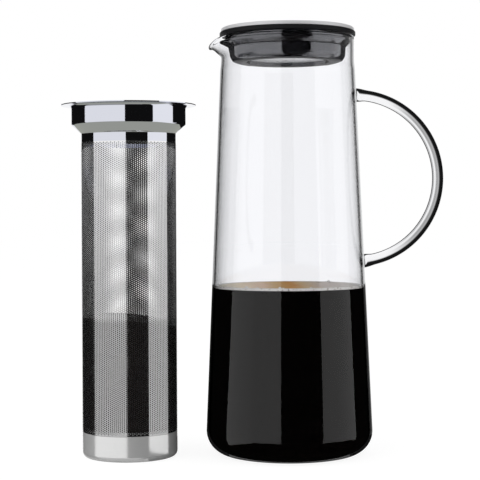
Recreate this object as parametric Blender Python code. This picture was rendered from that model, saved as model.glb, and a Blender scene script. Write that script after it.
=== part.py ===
"""Cold brew coffee maker: a tall glass jug with a glass ring handle and a plug-in lid, and a
steel filter that stands beside it.

Metres, +Z up. The origin is the centre of the jug's foot, on the table. +X runs from the jug's
axis to the handle, and the pouring spout is at -X, on the side where the filter stands.
"""

import math

import bmesh
import bpy
from mathutils import Matrix, Vector

# Fits and mesh resolution
FIT_GAP = 0.0003
CUT_OVERRUN = 0.002
MERGE_DISTANCE = 0.000001
SMOOTH_ANGLE = math.radians(35)
JUG_SEGMENTS = 72
ROUND_SEGMENTS = 48
ARC_STEPS = 4

# Jug: one blown glass wall from the foot to the rim
JUG_HEIGHT = 0.2702
JUG_BELLY_RADIUS = 0.0538
JUG_CONE_TOP_RADIUS = 0.0438
JUG_SHOULDER_LENGTH = 0.008
JUG_NECK_STEP = 0.0006
JUG_NECK_LENGTH = 0.0142
JUG_CORNER_RADIUS = 0.0155
JUG_WALL = 0.0021
JUG_BASE_THICKNESS = 0.0032

# Pouring spout: at -X the neck turns outwards, runs up straight and curls over at its lip
SPOUT_LENGTH = 0.0129
SPOUT_BEND = math.radians(47)
SPOUT_BEND_SHARE = 0.3
SPOUT_CURL = math.radians(45)
SPOUT_CURL_START_SHARE = 0.55
SPOUT_LIP_SWELL_SHARE = 0.35
SPOUT_LIP_START_SHARE = 0.7
SPOUT_HALF_ANGLE = math.radians(30)
SPOUT_BELL_POWER = 1.5
SPOUT_RINGS = 9
SPOUT_STEPS = 24

# Handle: a round glass rod bent to a ring, its two ends fused to the wall
HANDLE_RING_RADIUS = 0.054
HANDLE_ROD_RADIUS = 0.0036
HANDLE_CENTRE_INSET = 0.0036
HANDLE_CENTRE_DROP = 0.0918
HANDLE_FLARE = 0.0014
HANDLE_FLARE_LENGTH = 0.007
HANDLE_SWEEP = math.radians(212)
HANDLE_STEPS = 40
HANDLE_SIDES = 12

# Coffee in the jug
COFFEE_HEIGHT = 0.1092

# Lid plate: the black flange that rests on the rim, with a boss on top and a spigot below
LID_FLANGE_OVERHANG = 0.00085
LID_FLANGE_THICKNESS = 0.0028
LID_FLANGE_EDGE = 0.0007
LID_SPIGOT_DEPTH = 0.003
LID_SPIGOT_WALL = 0.0015

# Steel cap on the plate, held by a bonding pad
CAP_INSET = 0.00085
CAP_HEIGHT = 0.0023
CAP_SHEET = 0.0006
CAP_BEND_RADIUS = 0.0005
PAD_THICKNESS = 0.0006
PAD_MARGIN = 0.002

# Lid plug: a cup that hangs in the neck below the plate, narrowed at its top to seat the seal
PLUG_CLEARANCE = 0.0034
PLUG_TAPER = 0.0009
PLUG_DEPTH = 0.0165
PLUG_CORNER_RADIUS = 0.0045
PLUG_WALL = 0.0018
PLUG_SEAT_DEPTH = 0.0013

# Lid seal: a silicone ring with a wedge-shaped lip, in the plug's seat
SEAL_HEIGHT = 0.0067
SEAL_WAIST_DEPTH = 0.0016
SEAL_FOOT_THICKNESS = 0.0014
SEAL_COLLAR_INSET = 0.0006
SEAL_COLLAR_SHARE = 0.1
SEAL_WAIST_TOP_SHARE = 0.15
SEAL_WAIST_BOTTOM_SHARE = 0.33
SEAL_LIP_TOP_SHARE = 0.39
SEAL_LIP_BOTTOM_SHARE = 0.6

# Filter rim: drawn steel, sized so that its cup drops into the neck and its flange rests on
# the jug's rim
FILTER_FLOOR_CLEARANCE = 0.0414
FILTER_SHEET = 0.0006
FILTER_FLANGE_OVERHANG = 0.0002
FILTER_FLANGE_FILLET = 0.0023
FILTER_CUP_CLEARANCE = 0.0042
FILTER_CUP_DEPTH = 0.0124
FILTER_CUP_CORNER = 0.0016
FILTER_SHOULDER_WIDTH = 0.00635
FILTER_SHOULDER_HEIGHT = 0.0057
FILTER_NECK_LENGTH = 0.0052

# Filter tube: sheet with rows of plain openings for its fine holes, with a collar of the rim
# and one of the base inside its ends
FILTER_TUBE_SHEET = 0.0004
TUBE_OPENINGS_AROUND = 12
TUBE_OPENING_ROWS = 12
TUBE_OPENING_FACETS = 3
TUBE_BAR_WIDTH = 0.0048
TUBE_BAR_HEIGHT = 0.0046
FILTER_COLLAR_LENGTH = 0.0022
FILTER_COLLAR_SHEET = 0.0005

# Filter base: a drawn cup that closes the tube
FILTER_BASE_HEIGHT = 0.0164
FILTER_BASE_CORNER = 0.0036

# Where the filter stands beside the jug
FILTER_STAND_GAP = 0.0059
FILTER_FORWARD = 0.006

# Coffee grounds in the filter
GROUNDS_HEIGHT = 0.0895
GROUNDS_CROWN = 0.0012
GROUNDS_CROWN_SHARE = 0.5

# Sizes that follow from the ones above
JUG_NECK_RADIUS = JUG_CONE_TOP_RADIUS - JUG_NECK_STEP
JUG_NECK_BOTTOM = JUG_HEIGHT - JUG_NECK_LENGTH
JUG_CONE_TOP = JUG_NECK_BOTTOM - JUG_SHOULDER_LENGTH
JUG_MOUTH_RADIUS = JUG_NECK_RADIUS - JUG_WALL
JUG_FOOT_RADIUS = JUG_BELLY_RADIUS - JUG_CORNER_RADIUS
LID_FLANGE_RADIUS = JUG_NECK_RADIUS + LID_FLANGE_OVERHANG
LID_FLANGE_TOP = FIT_GAP + LID_FLANGE_THICKNESS
CAP_RADIUS = LID_FLANGE_RADIUS - CAP_INSET
CAP_BOTTOM = LID_FLANGE_TOP + FIT_GAP
CAP_TOP = CAP_BOTTOM + CAP_HEIGHT
PAD_TOP = CAP_TOP - CAP_SHEET - FIT_GAP
BOSS_RADIUS = CAP_RADIUS - CAP_SHEET - FIT_GAP
BOSS_TOP = PAD_TOP - PAD_THICKNESS - FIT_GAP
PLUG_RADIUS = JUG_MOUTH_RADIUS - PLUG_CLEARANCE
PLUG_SEAT_RADIUS = PLUG_RADIUS - PLUG_SEAT_DEPTH
PLUG_BORE_RADIUS = PLUG_SEAT_RADIUS - PLUG_WALL
FILTER_HEIGHT = JUG_HEIGHT - JUG_BASE_THICKNESS - FILTER_FLOOR_CLEARANCE + FILTER_SHEET
FILTER_FLANGE_RADIUS = JUG_NECK_RADIUS + FILTER_FLANGE_OVERHANG
FILTER_CUP_RADIUS = JUG_MOUTH_RADIUS - FILTER_CUP_CLEARANCE
FILTER_TUBE_RADIUS = FILTER_CUP_RADIUS - FILTER_SHOULDER_WIDTH
FILTER_TUBE_BORE = FILTER_TUBE_RADIUS - FILTER_TUBE_SHEET
FILTER_COLLAR_RADIUS = FILTER_TUBE_BORE - FIT_GAP
FILTER_COLLAR_BORE = FILTER_COLLAR_RADIUS - FILTER_COLLAR_SHEET
FILTER_FLANGE_UNDERSIDE = FILTER_HEIGHT - FILTER_SHEET
FILTER_CUP_BOTTOM = FILTER_FLANGE_UNDERSIDE - FILTER_CUP_DEPTH
FILTER_NECK_TOP = FILTER_CUP_BOTTOM - FILTER_SHOULDER_HEIGHT
FILTER_NECK_BOTTOM = FILTER_NECK_TOP - FILTER_NECK_LENGTH
FILTER_TUBE_TOP = FILTER_NECK_BOTTOM - FIT_GAP
FILTER_TUBE_BOTTOM = FILTER_BASE_HEIGHT + FIT_GAP
BASE_COLLAR_TOP = FILTER_TUBE_BOTTOM + FILTER_COLLAR_LENGTH

# Colours as linear red, green and blue, with roughness and metallic values
GLASS_COLOUR = (0.93, 0.96, 0.95)
GLASS_ROUGHNESS = 0.02
COFFEE_COLOUR = (0.012, 0.006, 0.004)
COFFEE_ROUGHNESS = 0.05
POLISHED_STEEL_COLOUR = (0.72, 0.72, 0.71)
POLISHED_ROUGHNESS = 0.08
SATIN_STEEL_COLOUR = (0.6, 0.6, 0.59)
SATIN_ROUGHNESS = 0.28
BLACK_PLASTIC_COLOUR = (0.012, 0.012, 0.014)
PLASTIC_ROUGHNESS = 0.22
SILICONE_COLOUR = (0.02, 0.02, 0.021)
SILICONE_ROUGHNESS = 0.5
GROUNDS_COLOUR = (0.022, 0.012, 0.008)
GROUNDS_ROUGHNESS = 0.95
PAD_COLOUR = (0.3, 0.3, 0.28)
PAD_ROUGHNESS = 0.8


def clear_scene():
    """Removes every object that the open file holds."""
    for old in list(bpy.data.objects):
        bpy.data.objects.remove(old, do_unlink=True)


def material(name, colour, roughness, metallic=0.0, alpha=1.0):
    """A Principled material with one colour."""
    made = bpy.data.materials.new(name)
    made.use_nodes = True
    shader = made.node_tree.nodes["Principled BSDF"]
    shader.inputs["Base Color"].default_value = (*colour, 1.0)
    shader.inputs["Roughness"].default_value = roughness
    shader.inputs["Metallic"].default_value = metallic
    shader.inputs["Alpha"].default_value = alpha
    made.diffuse_color = (*colour, alpha)
    return made


def frame_at(name, place):
    """An empty that carries the pieces of one moving group."""
    empty = bpy.data.objects.new(name, None)
    empty.location = place
    bpy.context.scene.collection.objects.link(empty)
    return empty


def add_piece(name, mesh_builder, finish, parent):
    """Turns a bmesh into a named object with a material, smooth except at sharp edges."""
    mesh = bpy.data.meshes.new(name)
    mesh_builder.to_mesh(mesh)
    mesh_builder.free()
    mesh.materials.append(finish)
    mesh.shade_smooth()
    mesh.set_sharp_from_angle(angle=SMOOTH_ANGLE)
    piece = bpy.data.objects.new(name, mesh)
    piece.parent = parent
    bpy.context.scene.collection.objects.link(piece)
    return piece


def arc(centre_r, centre_z, radius, start_degrees, stop_degrees, steps=ARC_STEPS):
    """Points (r, z) along an arc, both ends included."""
    points = []
    for step in range(steps + 1):
        angle = math.radians(start_degrees + (stop_degrees - start_degrees) * step / steps)
        points.append((centre_r + radius * math.cos(angle), centre_z + radius * math.sin(angle)))
    return points


def offset_path(path, distance):
    """The path moved sideways by a distance, to the left of its direction, with mitred corners."""
    moved = []
    for index, (r, z) in enumerate(path):
        before = path[max(index - 1, 0)]
        after = path[min(index + 1, len(path) - 1)]
        into = (r - before[0], z - before[1]) if index > 0 else (after[0] - r, after[1] - z)
        out = (after[0] - r, after[1] - z) if index < len(path) - 1 else into
        into_length = math.hypot(*into)
        out_length = math.hypot(*out)
        left_in = (-into[1] / into_length, into[0] / into_length)
        left_out = (-out[1] / out_length, out[0] / out_length)
        mitre = (left_in[0] + left_out[0], left_in[1] + left_out[1])
        scale = distance * 2 / (mitre[0] ** 2 + mitre[1] ** 2)
        moved.append((r + mitre[0] * scale, z + mitre[1] * scale))
    return moved


def turned(outline, segments, closed):
    """Spins an outline of (r, z) points round the Z axis into a closed solid.

    An open outline starts and ends on the axis. A closed one makes a ring.
    """
    solid = bmesh.new()
    corners = [solid.verts.new((r, 0, z)) for r, z in outline]
    pairs = list(zip(corners, corners[1:]))
    if closed:
        pairs.append((corners[-1], corners[0]))
    edges = [solid.edges.new(pair) for pair in pairs]
    bmesh.ops.spin(
        solid,
        geom=corners + edges,
        cent=(0, 0, 0),
        axis=(0, 0, 1),
        angle=2 * math.pi,
        steps=segments,
    )
    bmesh.ops.remove_doubles(solid, verts=solid.verts, dist=MERGE_DISTANCE)
    bmesh.ops.recalc_face_normals(solid, faces=solid.faces)
    return solid


def smooth_share(value):
    """A share from 0 to 1 that starts and ends level."""
    held = min(max(value, 0.0), 1.0)
    return held * held * (3 - 2 * held)


def jug_radius(height):
    """The jug's outer radius at a height on its cone."""
    rise = (height - JUG_CORNER_RADIUS) / (JUG_CONE_TOP - JUG_CORNER_RADIUS)
    return JUG_BELLY_RADIUS + (JUG_CONE_TOP_RADIUS - JUG_BELLY_RADIUS) * rise


def jug_side(bottom, corner, wall):
    """One side of the jug's wall, from the axis at the bottom up to the neck.

    It is the outside with no wall, and the inside with the glass's thickness.
    """
    path = [(0, bottom)]
    path += arc(JUG_FOOT_RADIUS, bottom + corner, corner, -90, 0, ARC_STEPS + 1)
    path.append((JUG_CONE_TOP_RADIUS - wall, JUG_CONE_TOP))
    path.append((JUG_NECK_RADIUS - wall, JUG_NECK_BOTTOM))
    return path


def spout_turn(reach, bell):
    """How far the wall has turned outwards at a share of the spout's length."""
    bend = SPOUT_BEND * smooth_share(reach / SPOUT_BEND_SHARE)
    curl_reach = (reach - SPOUT_CURL_START_SHARE) / (1 - SPOUT_CURL_START_SHARE)
    return bell * (bend + SPOUT_CURL * smooth_share(curl_reach))


def bend_spout(solid):
    """Bends the neck outwards round -X, with the wall a little thicker at the lip."""
    middle_radius = JUG_NECK_RADIUS - JUG_WALL / 2
    for corner in solid.verts:
        radius = math.hypot(corner.co.x, corner.co.y)
        off_spout = abs(math.atan2(corner.co.y, -corner.co.x))
        if corner.co.z <= JUG_NECK_BOTTOM or off_spout >= SPOUT_HALF_ANGLE:
            continue
        bell = math.cos(math.pi / 2 * off_spout / SPOUT_HALF_ANGLE) ** SPOUT_BELL_POWER
        reach = (corner.co.z - JUG_NECK_BOTTOM) / JUG_NECK_LENGTH
        length = JUG_NECK_LENGTH + (SPOUT_LENGTH - JUG_NECK_LENGTH) * bell
        step_length = length * reach / SPOUT_STEPS
        turns = [spout_turn(reach * (step + 0.5) / SPOUT_STEPS, bell) for step in range(SPOUT_STEPS)]
        out = step_length * sum(math.sin(turn) for turn in turns)
        rise = step_length * sum(math.cos(turn) for turn in turns)
        lip_reach = (reach - SPOUT_LIP_START_SHARE) / (1 - SPOUT_LIP_START_SHARE)
        swell = 1 + SPOUT_LIP_SWELL_SHARE * bell * smooth_share(lip_reach)
        beside = (radius - middle_radius) * swell
        turn = spout_turn(reach, bell)
        new_radius = middle_radius + out + beside * math.cos(turn)
        corner.co.z = JUG_NECK_BOTTOM + rise - beside * math.sin(turn)
        corner.co.x *= new_radius / radius
        corner.co.y *= new_radius / radius


def make_jug_body(finish, parent):
    """The glass jug with its rounded rim and pouring spout."""
    outer = jug_side(0, JUG_CORNER_RADIUS, 0)
    inner = jug_side(JUG_BASE_THICKNESS, JUG_CORNER_RADIUS - JUG_WALL, JUG_WALL)
    rim_radius = JUG_WALL / 2
    rim_centre = JUG_HEIGHT - rim_radius
    for ring in range(1, SPOUT_RINGS):
        height = JUG_NECK_BOTTOM + (rim_centre - JUG_NECK_BOTTOM) * ring / SPOUT_RINGS
        outer.append((JUG_NECK_RADIUS, height))
        inner.append((JUG_MOUTH_RADIUS, height))
    rim = arc(JUG_NECK_RADIUS - rim_radius, rim_centre, rim_radius, 0, 180)
    solid = turned(outer + rim + inner[::-1], JUG_SEGMENTS, closed=False)
    bend_spout(solid)
    return add_piece("jug_body", solid, finish, parent)


def make_jug_handle(finish, parent):
    """The glass ring, flared where it meets the wall and cut to the wall's shape."""
    centre_height = JUG_HEIGHT - HANDLE_CENTRE_DROP
    centre_out = jug_radius(centre_height) - HANDLE_CENTRE_INSET
    centre = Vector((centre_out, 0, centre_height))
    start = Matrix.Rotation(HANDLE_SWEEP / 2, 4, "Y")
    place = Matrix.Translation(centre) @ start @ Matrix.Translation((HANDLE_RING_RADIUS, 0, 0))
    handle = bmesh.new()
    section = bmesh.ops.create_circle(
        handle, cap_ends=True, segments=HANDLE_SIDES, radius=HANDLE_ROD_RADIUS, matrix=place
    )
    bmesh.ops.spin(
        handle,
        geom=section["verts"] + handle.edges[:] + handle.faces[:],
        cent=centre,
        axis=(0, -1, 0),
        angle=HANDLE_SWEEP,
        steps=HANDLE_STEPS,
    )
    for corner in handle.verts:
        spoke = Vector((corner.co.x - centre.x, 0, corner.co.z - centre.z))
        middle = centre + spoke.normalized() * HANDLE_RING_RADIUS
        from_wall = middle.x - jug_radius(middle.z)
        flare = HANDLE_FLARE * smooth_share(1 - from_wall / HANDLE_FLARE_LENGTH)
        corner.co = middle + (corner.co - middle) * (1 + flare / HANDLE_ROD_RADIUS)
    bmesh.ops.recalc_face_normals(handle, faces=handle.faces)
    piece = add_piece("jug_handle", handle, finish, parent)

    wall_path = [
        (0, CUT_OVERRUN),
        (jug_radius(CUT_OVERRUN) + FIT_GAP, CUT_OVERRUN),
        (jug_radius(JUG_HEIGHT) + FIT_GAP, JUG_HEIGHT),
        (0, JUG_HEIGHT),
    ]
    wall = turned(wall_path, JUG_SEGMENTS, closed=False)
    cutter = add_piece("handle_cutter", wall, finish, parent)
    cutter.hide_render = True
    cutter.display_type = "WIRE"
    cut = piece.modifiers.new("Cut to the wall", "BOOLEAN")
    cut.operation = "DIFFERENCE"
    cut.solver = "EXACT"
    cut.object = cutter
    return piece


def make_coffee(finish, parent):
    """The coffee, a close fit in the jug up to its level."""
    wall = JUG_WALL + FIT_GAP
    corner = JUG_CORNER_RADIUS - wall
    floor = JUG_BASE_THICKNESS + FIT_GAP
    path = [(0, floor)]
    path += arc(JUG_FOOT_RADIUS, floor + corner, corner, -90, 0)
    path += [(jug_radius(COFFEE_HEIGHT) - wall, COFFEE_HEIGHT), (0, COFFEE_HEIGHT)]
    return add_piece("coffee", turned(path, ROUND_SEGMENTS, closed=False), finish, parent)


def make_lid_plate(finish, parent):
    """The black flange, its boss for the cap and its spigot for the plug."""
    spigot_radius = PLUG_BORE_RADIUS - FIT_GAP
    spigot_bore = spigot_radius - LID_SPIGOT_WALL
    spigot_bottom = FIT_GAP - LID_SPIGOT_DEPTH
    edge = LID_FLANGE_EDGE
    edge_centre = LID_FLANGE_RADIUS - edge
    path = [
        (0, FIT_GAP),
        (spigot_bore, FIT_GAP),
        (spigot_bore, spigot_bottom),
        (spigot_radius, spigot_bottom),
        (spigot_radius, FIT_GAP),
    ]
    path += arc(edge_centre, FIT_GAP + edge, edge, -90, 0, 2)
    path += arc(edge_centre, LID_FLANGE_TOP - edge, edge, 0, 90, 2)
    path += [(BOSS_RADIUS, LID_FLANGE_TOP), (BOSS_RADIUS, BOSS_TOP), (0, BOSS_TOP)]
    return add_piece("lid_plate", turned(path, ROUND_SEGMENTS, closed=False), finish, parent)


def make_lid_cap(finish, parent):
    """The thin steel cap, turned down over the plate's boss."""
    bend = CAP_BEND_RADIUS
    bend_r = CAP_RADIUS - CAP_SHEET - bend
    bend_z = CAP_TOP - CAP_SHEET - bend
    path = [(0, CAP_TOP - CAP_SHEET)]
    path += arc(bend_r, bend_z, bend, 90, 0, 2)
    path += [(CAP_RADIUS - CAP_SHEET, CAP_BOTTOM), (CAP_RADIUS, CAP_BOTTOM)]
    path += arc(bend_r, bend_z, bend + CAP_SHEET, 0, 90, 3)
    path.append((0, CAP_TOP))
    return add_piece("lid_cap", turned(path, ROUND_SEGMENTS, closed=False), finish, parent)


def make_cap_pad(finish, parent):
    """The double-sided pad that bonds the cap to the plate."""
    radius = BOSS_RADIUS - PAD_MARGIN
    bottom = PAD_TOP - PAD_THICKNESS
    path = [(0, bottom), (radius, bottom), (radius, PAD_TOP), (0, PAD_TOP)]
    return add_piece("lid_cap_pad", turned(path, ROUND_SEGMENTS, closed=False), finish, parent)


def make_lid_plug(finish, parent):
    """The plug's cup, stepped in above its ledge for the seal."""
    ledge = -SEAL_HEIGHT - FIT_GAP
    corner = PLUG_CORNER_RADIUS
    corner_r = PLUG_RADIUS - PLUG_TAPER - corner
    corner_z = corner - PLUG_DEPTH
    path = [(0, -PLUG_DEPTH)]
    path += arc(corner_r, corner_z, corner, -90, 0)
    path += [
        (PLUG_RADIUS, ledge),
        (PLUG_SEAT_RADIUS, ledge),
        (PLUG_SEAT_RADIUS, 0),
        (PLUG_BORE_RADIUS, 0),
    ]
    inner_corner = corner - PLUG_WALL
    path += arc(PLUG_BORE_RADIUS - inner_corner, corner_z, inner_corner, 0, -90, 2)
    path.append((0, PLUG_WALL - PLUG_DEPTH))
    return add_piece("lid_plug", turned(path, ROUND_SEGMENTS, closed=False), finish, parent)


def make_lid_seal(finish, parent):
    """The silicone ring whose lip meets the inside of the neck."""
    inside = PLUG_SEAT_RADIUS + FIT_GAP
    lip = JUG_MOUTH_RADIUS - FIT_GAP
    waist = lip - SEAL_WAIST_DEPTH
    collar = lip - SEAL_COLLAR_INSET
    path = [
        (inside, -SEAL_HEIGHT),
        (inside + SEAL_FOOT_THICKNESS, -SEAL_HEIGHT),
        (lip, -SEAL_HEIGHT * SEAL_LIP_BOTTOM_SHARE),
        (lip, -SEAL_HEIGHT * SEAL_LIP_TOP_SHARE),
        (waist, -SEAL_HEIGHT * SEAL_WAIST_BOTTOM_SHARE),
        (waist, -SEAL_HEIGHT * SEAL_WAIST_TOP_SHARE),
        (collar, -SEAL_HEIGHT * SEAL_COLLAR_SHARE),
        (collar, 0),
        (inside, 0),
    ]
    return add_piece("lid_seal", turned(path, ROUND_SEGMENTS, closed=True), finish, parent)


def make_filter_rim(finish, parent):
    """The drawn rim: flat flange, cup, conical shoulder, neck and the collar inside the tube."""
    fillet = FILTER_FLANGE_FILLET
    corner = FILTER_CUP_CORNER
    slope = math.degrees(math.atan2(FILTER_SHOULDER_HEIGHT, FILTER_SHOULDER_WIDTH))
    corner_rise = corner * math.tan(math.radians(90 - slope) / 2)
    outside = [(FILTER_FLANGE_RADIUS, FILTER_FLANGE_UNDERSIDE)]
    outside += arc(
        FILTER_CUP_RADIUS + fillet, FILTER_FLANGE_UNDERSIDE - fillet, fillet, 90, 180, 3
    )
    outside += arc(
        FILTER_CUP_RADIUS - corner, FILTER_CUP_BOTTOM + corner_rise, corner, 0, slope - 90, 2
    )
    outside += [(FILTER_TUBE_RADIUS, FILTER_NECK_TOP), (FILTER_TUBE_RADIUS, FILTER_NECK_BOTTOM)]
    inside = offset_path(outside[:-1] + [(FILTER_TUBE_RADIUS, FILTER_TUBE_TOP)], -FILTER_SHEET)
    collar_bottom = FILTER_TUBE_TOP - FILTER_COLLAR_LENGTH
    collar = [
        (FILTER_COLLAR_RADIUS, FILTER_NECK_BOTTOM),
        (FILTER_COLLAR_RADIUS, collar_bottom),
        (FILTER_COLLAR_BORE, collar_bottom),
        (FILTER_COLLAR_BORE, inside[-2][1]),
    ]
    outline = outside + collar + inside[-3::-1]
    return add_piece("filter_rim", turned(outline, ROUND_SEGMENTS, closed=True), finish, parent)


def opening_grid():
    """The tube's facet angles and band heights, each led by a bar between two openings."""
    pitch = 2 * math.pi / TUBE_OPENINGS_AROUND
    bar = TUBE_BAR_WIDTH / FILTER_TUBE_RADIUS
    facet = (pitch - bar) / TUBE_OPENING_FACETS
    angles = []
    for column in range(TUBE_OPENINGS_AROUND):
        angles.append(pitch * column)
        angles += [pitch * column + bar + facet * step for step in range(TUBE_OPENING_FACETS)]
    row_pitch = (FILTER_TUBE_TOP - FILTER_TUBE_BOTTOM - TUBE_BAR_HEIGHT) / TUBE_OPENING_ROWS
    heights = []
    for row in range(TUBE_OPENING_ROWS + 1):
        bar_bottom = FILTER_TUBE_BOTTOM + row_pitch * row
        heights += [bar_bottom, bar_bottom + TUBE_BAR_HEIGHT]
    return angles, heights


def make_filter_tube(finish, parent):
    """The sheet tube between the rim's neck and the base, open in a plain grid."""
    angles, heights = opening_grid()
    facets = len(angles)
    bands = len(heights) - 1
    tube = bmesh.new()
    outside = {}
    inside = {}
    for step, angle in enumerate(angles):
        for level, height in enumerate(heights):
            for wall, radius in ((outside, FILTER_TUBE_RADIUS), (inside, FILTER_TUBE_BORE)):
                place = (radius * math.cos(angle), radius * math.sin(angle), height)
                wall[step, level] = tube.verts.new(place)

    def is_sheet(step, band):
        beside_bar = step % (TUBE_OPENING_FACETS + 1) > 0
        between_bars = band % 2 == 1
        return 0 <= band < bands and not (beside_bar and between_bars)

    for step in range(facets):
        for band in range(bands):
            if not is_sheet(step, band):
                continue
            after = (step + 1) % facets
            corners = [(step, band), (after, band), (after, band + 1), (step, band + 1)]
            neighbours = [(step, band - 1), (after, band), (step, band + 1), ((step - 1) % facets, band)]
            tube.faces.new([outside[corner] for corner in corners])
            tube.faces.new([inside[corner] for corner in reversed(corners)])
            for side, neighbour in enumerate(neighbours):
                if not is_sheet(*neighbour):
                    start, stop = corners[side], corners[(side + 1) % 4]
                    tube.faces.new([outside[stop], outside[start], inside[start], inside[stop]])
    bmesh.ops.recalc_face_normals(tube, faces=tube.faces)
    return add_piece("filter_tube", tube, finish, parent)


def make_filter_base(finish, parent):
    """The base cup, with its rounded foot and its collar inside the tube."""
    corner = FILTER_BASE_CORNER
    inner_corner = corner - FILTER_SHEET
    path = [(0, 0)]
    path += arc(FILTER_TUBE_RADIUS - corner, corner, corner, -90, 0)
    path += [
        (FILTER_TUBE_RADIUS, FILTER_BASE_HEIGHT),
        (FILTER_COLLAR_RADIUS, FILTER_BASE_HEIGHT),
        (FILTER_COLLAR_RADIUS, BASE_COLLAR_TOP),
        (FILTER_COLLAR_BORE, BASE_COLLAR_TOP),
    ]
    path += arc(FILTER_COLLAR_BORE - inner_corner, corner, inner_corner, 0, -90, 3)
    path.append((0, FILTER_SHEET))
    return add_piece("filter_base", turned(path, ROUND_SEGMENTS, closed=False), finish, parent)


def make_coffee_grounds(finish, parent):
    """The wet grounds that fill the lower part of the filter."""
    floor = FILTER_SHEET + FIT_GAP
    corner = FILTER_BASE_CORNER - floor
    low_radius = FILTER_COLLAR_BORE - FIT_GAP
    high_radius = FILTER_TUBE_BORE - FIT_GAP
    step = BASE_COLLAR_TOP + FIT_GAP
    path = [(0, floor)]
    path += arc(low_radius - corner, floor + corner, corner, -90, 0, 3)
    path += [
        (low_radius, step),
        (high_radius, step),
        (high_radius, GROUNDS_HEIGHT - GROUNDS_CROWN),
        (high_radius * GROUNDS_CROWN_SHARE, GROUNDS_HEIGHT),
        (0, GROUNDS_HEIGHT),
    ]
    return add_piece("coffee_grounds", turned(path, ROUND_SEGMENTS, closed=False), finish, parent)


def main():
    """Builds the jug, the lid on its rim and the filter beside it."""
    clear_scene()
    glass = material("clear_glass", GLASS_COLOUR, GLASS_ROUGHNESS, alpha=0.35)
    coffee = material("coffee", COFFEE_COLOUR, COFFEE_ROUGHNESS)
    polished = material("polished_steel", POLISHED_STEEL_COLOUR, POLISHED_ROUGHNESS, 1.0)
    satin = material("satin_steel", SATIN_STEEL_COLOUR, SATIN_ROUGHNESS, 1.0)
    plastic = material("black_plastic", BLACK_PLASTIC_COLOUR, PLASTIC_ROUGHNESS)
    silicone = material("black_silicone", SILICONE_COLOUR, SILICONE_ROUGHNESS)
    grounds = material("coffee_grounds", GROUNDS_COLOUR, GROUNDS_ROUGHNESS)
    pad = material("bonding_pad", PAD_COLOUR, PAD_ROUGHNESS)

    jug_frame = frame_at("jug_frame", (0, 0, 0))
    make_jug_body(glass, jug_frame)
    make_jug_handle(glass, jug_frame)
    make_coffee(coffee, jug_frame)

    lid_frame = frame_at("lid_frame", (0, 0, JUG_HEIGHT))
    make_lid_cap(polished, lid_frame)
    make_cap_pad(pad, lid_frame)
    make_lid_plate(plastic, lid_frame)
    make_lid_plug(plastic, lid_frame)
    make_lid_seal(silicone, lid_frame)

    beside = JUG_BELLY_RADIUS + FILTER_STAND_GAP + FILTER_FLANGE_RADIUS
    filter_frame = frame_at("filter_frame", (-beside, -FILTER_FORWARD, 0))
    make_filter_rim(polished, filter_frame)
    make_filter_tube(satin, filter_frame)
    make_filter_base(satin, filter_frame)
    make_coffee_grounds(grounds, filter_frame)


main()
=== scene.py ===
"""Looks of the cold brew coffee maker: a glass jug with a plug-in lid, and its steel filter.

Metres, +Z up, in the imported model's frame. The jug's axis is the Z axis, its handle is at +X and
its spout at -X, on the side where the filter stands.
"""

import math

import bpy
import numpy as np
from mathutils import Matrix, Vector, noise


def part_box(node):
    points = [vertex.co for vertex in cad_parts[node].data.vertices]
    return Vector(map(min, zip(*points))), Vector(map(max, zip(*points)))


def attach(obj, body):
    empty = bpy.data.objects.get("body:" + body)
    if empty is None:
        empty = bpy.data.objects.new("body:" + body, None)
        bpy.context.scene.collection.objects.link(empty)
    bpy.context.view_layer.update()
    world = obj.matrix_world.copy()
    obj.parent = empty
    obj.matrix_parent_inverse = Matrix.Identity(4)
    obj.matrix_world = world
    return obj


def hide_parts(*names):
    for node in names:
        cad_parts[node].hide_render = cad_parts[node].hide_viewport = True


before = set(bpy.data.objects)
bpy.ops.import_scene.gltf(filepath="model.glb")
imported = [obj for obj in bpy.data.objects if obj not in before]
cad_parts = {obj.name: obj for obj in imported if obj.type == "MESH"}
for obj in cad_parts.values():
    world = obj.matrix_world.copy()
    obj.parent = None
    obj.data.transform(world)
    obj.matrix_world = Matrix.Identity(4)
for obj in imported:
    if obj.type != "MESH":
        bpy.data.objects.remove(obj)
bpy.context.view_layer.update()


def radius_of(node):
    """Half of a round node's width along Y, at rest."""
    low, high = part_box(node)
    return (high.y - low.y) / 2


def bottom_of(node):
    """A node's lowest height, at rest."""
    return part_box(node)[0].z


def top_of(node):
    """A node's highest height, at rest."""
    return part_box(node)[1].z


# Camera: level, in front of the gap between jug and filter, as far as the photograph's
# perspective shows
CAMERA_PLACE = Vector((-0.0314, -0.9425, 0.1581))
CAMERA_LENS = 108.75
CAMERA_SHIFT_UP = -0.0625
CAMERA_ROLL = math.radians(-0.3)

# Floor, world and lamps
FLOOR_HALF_SIZE = 6.0
FLOOR_COLOUR = (0.2, 0.2, 0.2)
FLOOR_BOUNCE_COLOUR = (0.8, 0.8, 0.8)
FLOOR_GLOW = 0.9
AMBIENT_STRENGTH = 0.5
BELOW_GREY = 0.36
BELOW_STEEP = -0.42
BELOW_LEVEL = -0.2
LAMP_RADIANCE = 0.9
LAMP_HEIGHT = 1.5
LEFT_LAMP_ENDS = ((-1.479, 0.248), (-0.235, -1.482))
RIGHT_LAMP_ENDS = ((1.088, -1.0325), (1.4615, 0.337))

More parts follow.
